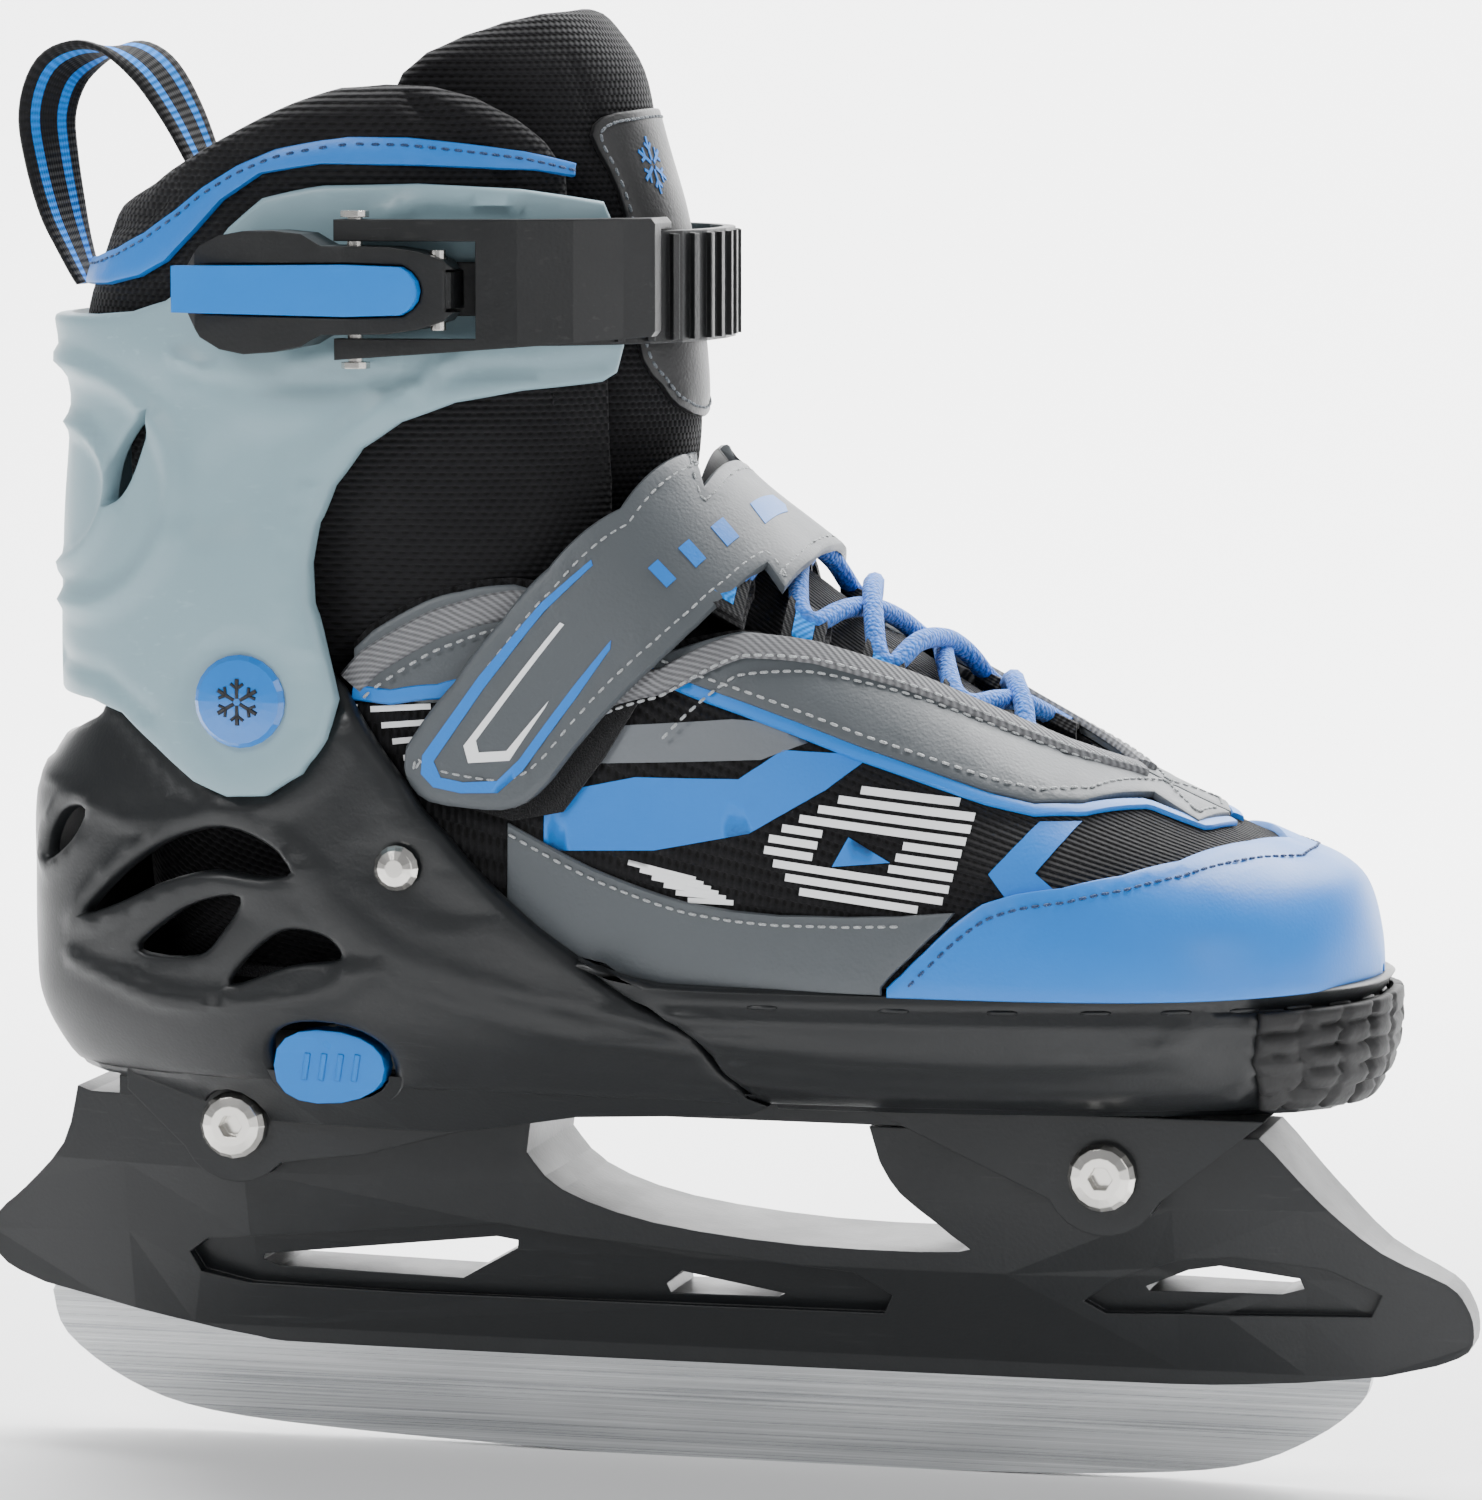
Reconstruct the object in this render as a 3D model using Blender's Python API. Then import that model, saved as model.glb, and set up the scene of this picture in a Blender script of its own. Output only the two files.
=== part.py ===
"""Adjustable ice skate, right foot.

Frame: +X toe, +Z up, -Y outer (lateral) side. The origin is the middle of the blade's flat
running edge. Every length below is in millimetres and is turned into metres when a mesh is made.
"""

import math

import bmesh
import bpy
from mathutils import Matrix, Vector

MM = 0.001

# Overall sizes
HOLDER_LENGTH = 294.0
BLADE_LENGTH = 263.0
BLADE_SHIFT = -4.0
BOOT_WIDTH = 95.0
ANKLE_WIDTH = 89.0
BOOT_BACK = -136.0
BOOT_FRONT = 129.0

# Running gear
BLADE_THICKNESS = 4.0
BLADE_SEAM_Z = 19.5
BLADE_TANG_Z = 29.0
FLAT_BACK = -22.0
FLAT_FRONT = 42.0
POST_WIDTH = 34.0
RAIL_WIDTH = 11.0
RAIL_TOP_Z = 45.0
REAR_BOLT_X = -90.8
REAR_BOLT_Z = 65.0
FRONT_BOLT_X = 79.5
FRONT_BOLT_Z = 61.7
BOLT_DIAMETER = 7.0
BOLT_HEAD_DIAMETER = 13.0
BOLT_HEAD_HEIGHT = 3.4
HEX_SOCKET = 4.0
PLATE_BOTTOM_Z = 69.0
PLATE_THICKNESS = 4.0
CHEEK_THICKNESS = 3.6

# Shell and sliding toe
SHELL_WALL = 3.0
PIVOT_X = -81.6
PIVOT_Z = 149.3
LOBE_RADIUS = 19.0
BOSS_RADIUS = 9.0
BOSS_DEPTH = 8.0
RIVET_FLANGE = 6.4
RIVET_X = -51.1
RIVET_Z = 118.6
RIVET_DIAMETER = 8.7
SOLE_TOP_Z = 98.6
SOLE_WALL = 3.0
TOE_SWING = 5.0
TOE_TRAVEL = 21.0
SLEEVE_LAP = 16.0
UPPER_WALL = 2.4
OVERLAY = 1.0
BUMPER_THICKNESS = 2.4
TREAD_GROOVE = 0.9
TREAD_DEPTH = 1.1

# Liner
FOOTBED_Z = 96.0
INSOLE_THICKNESS = 3.5
LINER_WALL = 6.0
LINER_JOINT_RADIUS = 52.0
COLLAR_WALL = 8.0
TONGUE_THICKNESS = 7.0

# Cuff and its pivot
CUFF_WALL = 3.2
CAP_DIAMETER = 17.6
CAP_HEIGHT = 2.8
PIVOT_SHANK = 7.6

# Buckle
STRAP_Z = 227.0
STRAP_FOLD_Y = 14.0
ARM_HEIGHT = 26.0
LADDER_HEIGHT = 21.0
LADDER_THICKNESS = 2.2
RIB_HEIGHT = 1.1
RIB_WIDTH = 1.7
RIB_COUNT = 13
RIB_STEP_DEG = 6.4
ARM_THICKNESS = 2.6
LEVER_X = -41.0
LEVER_REACH = 4.4
BASE_RIVETS_X = (-50.0, -32.0)
BASE_RIVET_RADIUS = 1.5
ARM_PIN_X = -57.0
LEVER_TAIL_X = -90.0
PIN_DIAMETER = 3.0
PIN_HEAD_DIAMETER = 5.5
LADDER_ROOT_X = -38.0

# Size button
BUTTON_X = -67.1
BUTTON_Z = 79.1
BUTTON_LENGTH = 22.0
BUTTON_HEIGHT = 14.0

# Clearances
GAP = 0.4
SLIDE_GAP = 0.6

HALF_BOOT = BOOT_WIDTH / 2
HALF_ANKLE = ANKLE_WIDTH / 2
HALF_POST = POST_WIDTH / 2
PLATE_TOP_Z = PLATE_BOTTOM_Z + PLATE_THICKNESS
HALF_PLATE = HALF_POST + GAP
CHEEK_INNER = HALF_POST + 2 * GAP
CHEEK_OUTER = CHEEK_INNER + CHEEK_THICKNESS
SOLE_BOTTOM_Z = PLATE_TOP_Z + GAP
LEVER_Y = HALF_ANKLE + 5.0
LADDER_GROW = 2.2

BLACK_PLASTIC = ("shell_plastic", (0.012, 0.015, 0.018), 0.42, 0.0)
CUFF_PLASTIC = ("cuff_plastic", (0.31, 0.44, 0.48), 0.38, 0.0)
BLUE_PLASTIC = ("blue_plastic", (0.0, 0.35, 0.85), 0.35, 0.0)
RUBBER = ("bumper_rubber", (0.012, 0.012, 0.013), 0.7, 0.0)
BLADE_STEEL = ("blade_steel", (0.72, 0.73, 0.74), 0.25, 1.0)
FASTENER = ("fastener_chrome", (0.75, 0.73, 0.70), 0.2, 1.0)
BLACK_MESH = ("liner_mesh", (0.01, 0.01, 0.012), 0.9, 0.0)
BLUE_PU = ("blue_synthetic", (0.0, 0.33, 0.85), 0.5, 0.0)
GREY_PU = ("grey_synthetic", (0.085, 0.10, 0.11), 0.55, 0.0)
BLUE_CORD = ("lace_cord", (0.0, 0.25, 0.75), 0.7, 0.0)
FOAM = ("footbed_foam", (0.03, 0.03, 0.035), 0.9, 0.0)

BODY_AXES = {
    "chassis": (0, 0, 0),
    "cuff": (PIVOT_X, 0, PIVOT_Z),
    "lever": (LEVER_X, -LEVER_Y, STRAP_Z),
    "arm": (ARM_PIN_X, -LEVER_Y, STRAP_Z),
    "ladder": (LADDER_ROOT_X, HALF_ANKLE + 1.0, STRAP_Z),
    "toe": (0, 0, PLATE_TOP_Z),
    "button": (BUTTON_X, -HALF_BOOT, BUTTON_Z),
    "instep": (9, STRAP_FOLD_Y, 184.8),
}
PARENTS = {"lever": "cuff", "arm": "lever", "ladder": "cuff", "instep": "toe"}


def clear_scene():
    for obj in list(bpy.data.objects):
        bpy.data.objects.remove(obj)


def make_body_axes():
    """One empty on each moving body's joint axis; the pieces of a body are parented to it."""
    empties = {}
    for body, point in BODY_AXES.items():
        empty = bpy.data.objects.new("axis_" + body, None)
        empty.empty_display_size = 0.02
        bpy.context.scene.collection.objects.link(empty)
        parent = PARENTS.get(body)
        start = Vector(BODY_AXES[parent]) if parent else Vector()
        empty.parent = empties.get(parent)
        empty.location = (Vector(point) - start) * MM
        empties[body] = empty
    return empties


def material(finish):
    name, colour, roughness, metallic = finish
    found = bpy.data.materials.get(name)
    if found:
        return found
    made = bpy.data.materials.new(name)
    made.use_nodes = True
    shader = made.node_tree.nodes["Principled BSDF"]
    shader.inputs["Base Color"].default_value = (*colour, 1.0)
    shader.inputs["Roughness"].default_value = roughness
    shader.inputs["Metallic"].default_value = metallic
    made.diffuse_color = (*colour, 1.0)
    return made


# ---------------------------------------------------------------- shapes


def clean(mesh):
    shape = bmesh.new()
    shape.from_mesh(mesh)
    bmesh.ops.remove_doubles(shape, verts=shape.verts, dist=2e-6)
    bmesh.ops.dissolve_degenerate(shape, edges=shape.edges, dist=2e-6)
    bmesh.ops.recalc_face_normals(shape, faces=shape.faces)
    shape.to_mesh(mesh)
    shape.free()


def solid(points, faces, name="tool"):
    """A closed mesh object from points in millimetres."""
    mesh = bpy.data.meshes.new(name)
    mesh.from_pydata([Vector(point) * MM for point in points], [], faces)
    clean(mesh)
    obj = bpy.data.objects.new(name, mesh)
    bpy.context.scene.collection.objects.link(obj)
    return obj


def combine(base, tool, operation, solver="EXACT"):
    """Boolean of two closed objects; the result stays in base and the tool is removed."""
    modifier = base.modifiers.new("shape", "BOOLEAN")
    modifier.operation = operation
    modifier.solver = solver
    modifier.object = tool
    graph = bpy.context.evaluated_depsgraph_get()
    mesh = bpy.data.meshes.new_from_object(base.evaluated_get(graph))
    base.modifiers.clear()
    base.data = mesh
    clean(mesh)
    bpy.data.objects.remove(tool)
    return base


def minus(base, *tools):
    for tool in tools:
        combine(base, tool, "DIFFERENCE")
    return base


def within(base, tool):
    return combine(base, tool, "INTERSECT")


def plus(base, *tools):
    for tool in tools:
        combine(base, tool, "UNION")
    return base


def loft(rings):
    """Skin closed rings of equal length, with flat ends."""
    count = len(rings[0])
    points = [point for ring in rings for point in ring]
    faces = []
    for level in range(len(rings) - 1):
        start = level * count
        for i in range(count):
            j = (i + 1) % count
            faces.append((start + i, start + j, start + count + j, start + count + i))
    faces.append(tuple(range(count))[::-1])
    faces.append(tuple(len(points) - count + i for i in range(count)))
    return solid(points, faces)


def extrude_y(outline, y0, y1):
    """A plate with an (X, Z) outline between two Y planes."""
    return loft([[(x, y, z) for x, z in outline] for y in (y0, y1)])


def extrude_z(outline, z0, z1):
    """A block with an (X, Y) outline between two heights."""
    return loft([[(x, y, z) for x, y in outline] for z in (z0, z1)])


def box(x0, x1, y0, y1, z0, z1):
    return extrude_z([(x0, y0), (x1, y0), (x1, y1), (x0, y1)], z0, z1)


def disc(x, z, radius, y0, y1, sides=16):
    """A cylinder along Y."""
    return turned([(radius, y0), (radius, y1)], x, z, sides)


def turned(profile, x, z, sides=16, side=1):
    """A solid of revolution about an axis along Y, from (radius, y) stations."""
    rings = []
    for radius, y in profile:
        ring = []
        for i in range(sides):
            angle = 2 * math.pi * i / sides
            ring.append((x + radius * math.cos(angle), side * y, z + radius * math.sin(angle)))
        rings.append(ring)
    return loft(rings)


def post(x, y, radius, z0, z1, sides=12):
    """A cylinder along Z."""
    ring = [2 * math.pi * i / sides for i in range(sides)]
    return extrude_z([(x + radius * math.cos(a), y + radius * math.sin(a)) for a in ring], z0, z1)


def arc(x, z, radius, start, end, steps):
    """(X, Z) points of an arc, with angles in degrees from +X towards +Z."""
    found = []
    for i in range(steps + 1):
        angle = math.radians(start + (end - start) * i / steps)
        found.append((x + radius * math.cos(angle), z + radius * math.sin(angle)))
    return found


def smooth(points, steps=4, closed=False):
    """Catmull-Rom curve through a few chosen points."""
    count = len(points)
    spans = count if closed else count - 1
    found = []
    for i in range(spans):
        if closed:
            p = [points[(i + k) % count] for k in (-1, 0, 1, 2)]
        else:
            p = [points[min(max(i + k, 0), count - 1)] for k in (-1, 0, 1, 2)]
        for step in range(steps):
            t = step / steps
            found.append(tuple(
                0.5 * (2 * b + (c - a) * t + (2 * a - 5 * b + 4 * c - d) * t * t
                       + (3 * b - 3 * c + d - a) * t ** 3)
                for a, b, c, d in zip(*p)
            ))
    if not closed:
        found.append(tuple(points[-1]))
    return found


def power(value, exponent):
    return math.copysign(abs(value) ** exponent, value)


def table(rows, key):
    """Values between the rows of a short station table, by straight lines."""
    if key <= rows[0][0]:
        return rows[0][1:]
    for low, high in zip(rows, rows[1:]):
        if key <= high[0]:
            t = (key - low[0]) / (high[0] - low[0])
            return tuple(a + (b - a) * t for a, b in zip(low[1:], high[1:]))
    return rows[-1][1:]


def swing(x):
    """The forefoot of a right foot turns a little towards the inner side."""
    return TOE_SWING * (max(0.0, x - 20) / 110) ** 2


def plan_ring(z, back, front, half_width, grow=0.0, bulge=2.6, sides=36, turn=False):
    """A superellipse outline seen from above."""
    middle = (back + front) / 2
    half = (front - back) / 2 + grow
    ring = []
    for i in range(sides):
        angle = 2 * math.pi * i / sides
        x = middle + half * power(math.cos(angle), 2 / bulge)
        y = (half_width + grow) * power(math.sin(angle), 2 / bulge)
        ring.append((x, y + (swing(x) if turn else 0.0), z))
    return ring


# ---------------------------------------------------------------- shared forms


# Stations of the hard lower boot: height, back, front, width as a share of the boot's.
LOWER_BOOT = [
    (66, -112, 110, 0.60),
    (74, -127, 122, 0.72),
    (80, -132, 126, 0.81),
    (88, -135.4, 128.4, 0.90),
    (97, -136, 129, 0.94),
    (112, -136, 129, 0.955),
    (128, -135.5, 129, 0.955),
    (134, -132, 129, 0.955),
    (156, -118, 129, 0.94),
]

# Stations of the cuff: height, back, front, width as a share of the ankle's.
LEG = [
    (120, -127, -8, 1.02),
    (150, -129.4, -6, 1.015),
    (180, -129, -4, 1.0),
    (204, -127.4, -3, 1.0),
    (214, -128.2, -3, 1.0),
    (221, -130.4, -3, 1.0),
    (250, -130.4, -3, 1.0),
]


def levels(rows, low, high):
    return sorted({low, high} | {row[0] for row in rows if low < row[0] < high})


def half_width_at(back, front, half_width, x, bulge):
    """Where a superellipse outline's side lies at a given X."""
    along = abs(x - (back + front) / 2) / ((front - back) / 2)
    return half_width * (1 - along ** bulge) ** (1 / bulge)


def shell_side(x, z):
    back, front, share = table(LOWER_BOOT, z)
    return half_width_at(back, front, share * HALF_BOOT, x, 2.6)


def cuff_side(x, z):
    back, front, share = table(LEG, z)
    return half_width_at(back, front, share * HALF_ANKLE, x, 2.35)


def lower_boot(grow, low=66.0, high=156.0):
    """The hard lower boot's outer form."""
    rings = []
    for z in levels(LOWER_BOOT, low, high):
        back, front, share = table(LOWER_BOOT, z)
        back += BOOT_BACK + 136
        front += BOOT_FRONT - 129
        rings.append(plan_ring(z, back, front, share * HALF_BOOT, grow, 2.6, 32, True))
    return loft(rings)


def toe_form(grow, low, high):
    """The sliding toe's outer form, a little wider than the shell at the forefoot."""
    rows = [
        (73, -130, 121, 0.62),
        (77, -132, 125, 0.78),
        (83, -134, 128, 0.92),
        (90, -136, 129, 0.985),
        (99, -136, 128.5, 1.0),
    ]
    rings = []
    for z in levels(rows, low, high):
        back, front, share = table(rows, z)
        front += BOOT_FRONT - 129
        rings.append(plan_ring(z, back, front, share * HALF_BOOT, grow, 2.6, 32, True))
    return loft(rings)


def leg_form(grow, low, high):
    """The cuff's outer form, grown or shrunk."""
    rings = []
    for z in levels(LEG, low, high):
        back, front, share = table(LEG, z)
        rings.append(plan_ring(z, back, front, share * HALF_ANKLE, grow, 2.35, 28))
    return loft(rings)


def collar_form(grow, low, high):
    """The padded ankle liner: it fills the cuff and stands proud above it."""
    rest = CUFF_WALL + GAP
    rows = [
        (140, -124.5, -14, -rest - 0.2),
        (200, -123.4, -11, -rest - 0.2),
        (222, -123.6, -11, -rest - 0.2),
        (234, -120, -12, -rest - 0.2),
        (247, -114, -14, -rest - 0.2),
        (257, -111, -17, -rest - 1.4),
        (268, -107, -20, -rest - 4.0),
    ]
    rings = []
    for z in levels(rows, low, high):
        back, front, inset = table(rows, z)
        rings.append(plan_ring(z, back, front, HALF_ANKLE + inset, grow, 2.35, 24))
    return loft(rings)


def tongue_form(grow, low, high):
    """The tongue's front bulges out between the collar's two edges."""
    rows = [
        (176, -110, -7, 25.5),
        (202, -110, -4.2, 25.5),
        (216, -110, -4.8, 25.5),
        (238, -108, -8, 25.5),
        (252, -106, -12, 25.5),
        (265, -104, -16, 25.0),
        (275, -102, -21, 23.5),
        (282, -100, -27, 21.0),
    ]
    rings = []
    for z in levels(rows, low, high):
        back, front, width = table(rows, z)
        half = width + HALF_ANKLE - 44.5
        rings.append(plan_ring(z, back, front, half, grow, 2.35, 24))
    return loft(rings)


def foot_form(grow, low, high):
    """The soft inner boot around the foot: (z, front end, half width)."""
    rows = [
        (80, 94, 21.5),
        (88, 98, 28.6),
        (94, 99, 31.5),
        (104, 98, 34.0),
        (114, 92, 34.5),
        (124, 80, 34.0),
        (134, 64, 33.2),
        (144, 47, 32.2),
        (154, 30, 31.5),
        (164, 15, 31.0),
        (174, 1, 31.0),
        (184, -9, 31.0),
        (204, -14, 31.0),
    ]
    rings = []
    for z in levels(rows, low, high):
        front, width = table(rows, z)
        back = table([(80, -123), (88, -128), (96, -130.5), (120, -131.5), (134, -127.5),
                      (144, -121), (152, -117.5), (204, -117.5)], z)[0]
        half = width + min(HALF_BOOT - 47.5, HALF_ANKLE - 44.5)
        rings.append(plan_ring(z, back, front, half, grow, 2.4, 24))
    return loft(rings)


def upper_form(grow, back=-62.0):
    """The sewn upper from the ankle to the toe: (x, top height, half width)."""
    rows = [
        (-62, 262, 38.0),
        (-46, 250, 38.2),
        (-30, 228, 38.8),
        (-15, 207, 40.6),
        (0, 189, 43.0),
        (15, 177, 44.8),
        (30, 166, 45.8),
        (45, 156, 46.4),
        (60, 146.5, 46.6),
        (75, 138, 46.0),
        (88, 131.4, 44.0),
        (100, 126, 40.0),
        (110, 122, 33.5),
        (118, 119.0, 25.0),
        (122.5, 115.5, 17.0),
        (125.2, 108, 9.0),
    ]
    base = SOLE_TOP_Z + GAP
    rings = []
    for x, top, width in rows:
        if x < back:
            continue
        half = width + HALF_BOOT - 47.5 + grow
        height = top - base + grow
        ring = []
        steps = 16
        for i in range(steps + 1):
            angle = math.pi * i / steps
            y = half * power(math.cos(angle), 2 / 2.25)
            z = base + height * power(math.sin(angle), 2 / 2.25)
            ring.append((x, y + swing(x), max(z, base)))
        rings.append(ring)
    shift = max(grow, 0.0)
    rings[-1] = [(x + shift, y, z) for x, y, z in rings[-1]]
    return loft(rings)


def band(form, outline, inner, outer, y0=-80.0, y1=80.0, **limits):
    """A layer lying on a form, cut to an (X, Z) side outline."""
    layer = within(form(outer, **limits), extrude_y(outline, y0, y1))
    return minus(layer, form(inner, **limits))


# ---------------------------------------------------------------- running gear


def rail(x):
    """A place along the holder that stretches with its length."""
    return x * HOLDER_LENGTH / 294.0


def blade():
    back = BLADE_SHIFT - BLADE_LENGTH / 2
    front = BLADE_SHIFT + BLADE_LENGTH / 2
    outline = smooth([(FLAT_FRONT, 0), (75, 0.9), (front - 26, 3.6), (front - 11, 9.8),
                      (front - 2, 17), (front, 22.5)])
    outline += [(front - 2, BLADE_TANG_Z - 4), (front - 12, BLADE_TANG_Z)]
    outline += [(back + 13, BLADE_TANG_Z), (back + 1, 29)]
    outline += smooth([(back, 27), (back + 3, 18.5), (back + 16, 9.5), (back + 33, 4.4),
                       (-70, 1.8), (FLAT_BACK, 0)])
    return extrude_y(outline, -BLADE_THICKNESS / 2, BLADE_THICKNESS / 2)


def holder_outline():
    rear = -HOLDER_LENGTH / 2
    front = HOLDER_LENGTH / 2
    top = PLATE_BOTTOM_Z - GAP
    outline = smooth([(REAR_BOLT_X - 36, 69.5), (rear + 17, 58), (rear + 8, 48.4),
                      (rear + 2, 43.2), (rear, 37.6), (rear + 3, 32.5), (rear + 11, 29.0)], 3)
    outline += smooth([(rail(-110), 23.5), (rail(-92), 20.4), (rail(-70), BLADE_SEAM_Z),
                       (rail(70), BLADE_SEAM_Z), (rail(104), 20.2), (front - 17, 22.7)], 3)
    outline += smooth([(front - 7, 25.2), (front - 1, 28), (front, 32.5), (front - 1.4, 37),
                       (front - 5, 41), (front - 17, 47), (front - 28, 56.5),
                       (FRONT_BOLT_X + 31, top - 3)], 3)
    outline += [(FRONT_BOLT_X + 28, top), (FRONT_BOLT_X - 46, top)]
    outline += smooth([(FRONT_BOLT_X - 44, 62), (FRONT_BOLT_X - 40, 56), (FRONT_BOLT_X - 30, 48),
                       (FRONT_BOLT_X - 29, RAIL_TOP_Z), (20, RAIL_TOP_Z), (-9, 48.2),
                       (REAR_BOLT_X + 64, 54), (REAR_BOLT_X + 57, 61)], 3)
    outline += [(REAR_BOLT_X + 58, top), (REAR_BOLT_X - 33, top)]
    return outline


def holder_envelope(inset):
    """The holder narrows towards the blade and towards both tips."""
    rear = -HOLDER_LENGTH / 2 - 1
    front = HOLDER_LENGTH / 2 + 1
    stations = [(rear, 3.5, 5.0, 7.0), (REAR_BOLT_X - 26, RAIL_WIDTH / 2, 10.0, 12.5),
                (REAR_BOLT_X, RAIL_WIDTH / 2, 13.0, HALF_POST), (0, RAIL_WIDTH / 2, 15.0, HALF_POST),
                (FRONT_BOLT_X - 20, RAIL_WIDTH / 2, 15.0, HALF_POST),
                (FRONT_BOLT_X + 12, RAIL_WIDTH / 2, 11.5, HALF_POST - 1),
                (FRONT_BOLT_X + 36, RAIL_WIDTH / 2, 9.0, 12.5), (front, 3.5, 5.0, 7.0)]
    rings = []
    for x, low, middle, high in stations:
        low, middle, high = low - inset, middle - inset, high - inset
        rings.append([(x, -low, 10), (x, low, 10), (x, low, BLADE_SEAM_Z + 3),
                      (x, middle, RAIL_TOP_Z - 4), (x, high, RAIL_TOP_Z + 10), (x, high, 80),
                      (x, -high, 80), (x, -high, RAIL_TOP_Z + 10), (x, -middle, RAIL_TOP_Z - 4),
                      (x, -low, BLADE_SEAM_Z + 3)])
    return loft(rings)


def windows():
    """The three see-through windows in the rail."""
    rear = [(-89.5, 36.4), (-89, 37.6), (-41, 43.6), (-36.8, 43), (-37, 41.4), (-49, 34.4),
            (-86, 35.2)]
    middle = [(-8.0, 35.4), (-4.6, 38.2), (15.4, 34.4), (14, 33.6), (-7.4, 33.4)]
    front = [(85.4, 38.9), (93.6, 42.4), (99.5, 43.4), (114.4, 41.2), (115.2, 39.2),
             (111, 38.0), (86, 38.0)]
    return [[(rail(x), z) for x, z in outline] for outline in (rear, middle, front)]


def pockets():
    """Shallow recesses that frame the windows on both faces of the rail."""
    long_pocket = [(-104, 37.5), (-100, 40.5), (-40, 46.6), (-26, 44.8), (30, 40.0), (37, 35.5),
                   (35, 31.5), (-58, 31.0), (-92, 31.6), (-102, 33.6)]
    front_pocket = [(74, 36.0), (80, 40.5), (92, 44.6), (102, 45.6), (120, 43.4), (130, 38.6),
                    (128, 34.4), (78, 33.6)]
    return [[(rail(x), z) for x, z in outline] for outline in (long_pocket, front_pocket)]


def blade_holder():
    body = within(extrude_y(holder_outline(), -30, 30), holder_envelope(0.0))
    for outline in pockets():
        recess = minus(extrude_y(outline, -30, 30), holder_envelope(2.2))
        body = minus(body, recess)
    for outline in windows():
        body = minus(body, extrude_y(outline, -30, 30))
    half_slot = BLADE_THICKNESS / 2 + GAP
    slot = box(BLADE_SHIFT - BLADE_LENGTH / 2 - 1, BLADE_SHIFT + BLADE_LENGTH / 2 + 1,
               -half_slot, half_slot, 5, BLADE_TANG_Z + GAP)
    bore = BOLT_DIAMETER / 2 + GAP
    return minus(body, slot, disc(REAR_BOLT_X, REAR_BOLT_Z, bore, -30, 30),
                 disc(FRONT_BOLT_X, FRONT_BOLT_Z, bore, -30, 30))


def cheek_outline(x, z, reach, top):
    """A hanging lug around a bolt, with long tangent flanks."""
    radius = BOLT_HEAD_DIAMETER / 2 + 5
    return [(x - reach, top)] + arc(x, z, radius, 205, 335, 9) + [(x + reach * 0.66, top)]


def base_plate():
    plate = box(REAR_BOLT_X - 25, FRONT_BOLT_X + 21, -HALF_PLATE, HALF_PLATE,
                PLATE_BOTTOM_Z, PLATE_TOP_Z)
    outline = cheek_outline(FRONT_BOLT_X, FRONT_BOLT_Z, 46, PLATE_TOP_Z)
    cheeks = extrude_y(outline, -CHEEK_OUTER, CHEEK_OUTER)
    cheeks = minus(cheeks, box(-10, 130, -CHEEK_INNER, CHEEK_INNER, 30, PLATE_BOTTOM_Z))
    bore = disc(FRONT_BOLT_X, FRONT_BOLT_Z, BOLT_DIAMETER / 2 + GAP, -40, 40)
    return minus(plus(plate, cheeks), bore)


def bolt(x, z, y_face):
    """Low-head bolt with a hexagon socket; its shank ends inside the sleeve nut."""
    y = y_face + GAP
    head = BOLT_HEAD_DIAMETER / 2
    shank = BOLT_DIAMETER / 2
    profile = [(head * 0.6, -y - BOLT_HEAD_HEIGHT), (head * 0.86, -y - BOLT_HEAD_HEIGHT + 0.4),
               (head, -y - BOLT_HEAD_HEIGHT + 1.6), (head, -y), (shank, -y), (shank, 0.0),
               (shank - 1.6, 0.0), (shank - 1.6, y - 2)]
    body = turned(profile, x, z)
    return minus(body, turned([(HEX_SOCKET / 1.7, -y - 9), (HEX_SOCKET / 1.7, -y - 0.6)], x, z, 6))


def sleeve_nut(x, z, y_face):
    y = y_face + GAP
    head = BOLT_HEAD_DIAMETER / 2
    shank = BOLT_DIAMETER / 2
    profile = [(shank, GAP), (shank, y), (head, y), (head, y + BOLT_HEAD_HEIGHT - 1.6),
               (head * 0.86, y + BOLT_HEAD_HEIGHT - 0.4), (head * 0.6, y + BOLT_HEAD_HEIGHT)]
    body = turned(profile, x, z)
    body = minus(body, turned([(shank - 1.2, -2), (shank - 1.2, y - 1)], x, z))
    return minus(body, turned([(HEX_SOCKET / 1.7, y + 0.6), (HEX_SOCKET / 1.7, y + 9)], x, z, 6))


# ---------------------------------------------------------------- shell


def wing_edge():
    """The shell's front edge, from beside the ankle down to the sole."""
    return [(-63, 152), (-50, 134), (-42, 125), (-33, 115), (-17, 103), (-8, 96), (0, 92),
            (6, 88), (10, 81), (14, 76), (18, SOLE_BOTTOM_Z + 1)]


def lobe_outline(grow, drop=0.0):
    """Lower edge of the cuff around its pivot; drop lowers its rear half."""
    round_part = arc(PIVOT_X, PIVOT_Z, LOBE_RADIUS + grow, 15, -118, 12)
    return round_part + [(PIVOT_X - 19, 139.5 - drop), (PIVOT_X - 27, 144.6 - drop),
                         (PIVOT_X - 46, 150 - drop)]


def shell_profile():
    """Side outline of the shell."""
    outline = [(BOOT_BACK - 4, 75), (REAR_BOLT_X - 24, 70), (REAR_BOLT_X - 10, 64),
               (REAR_BOLT_X + 26, 64), (REAR_BOLT_X + 52, 67), (-20, 70.5), (14, 72.4)]
    outline += wing_edge()[::-1]
    outline += [(PIVOT_X + 16, 164), (PIVOT_X - 10, 164), (PIVOT_X - 26, 152), (-118, 143.5),
                (BOOT_BACK - 4, 131)]
    return outline


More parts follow.
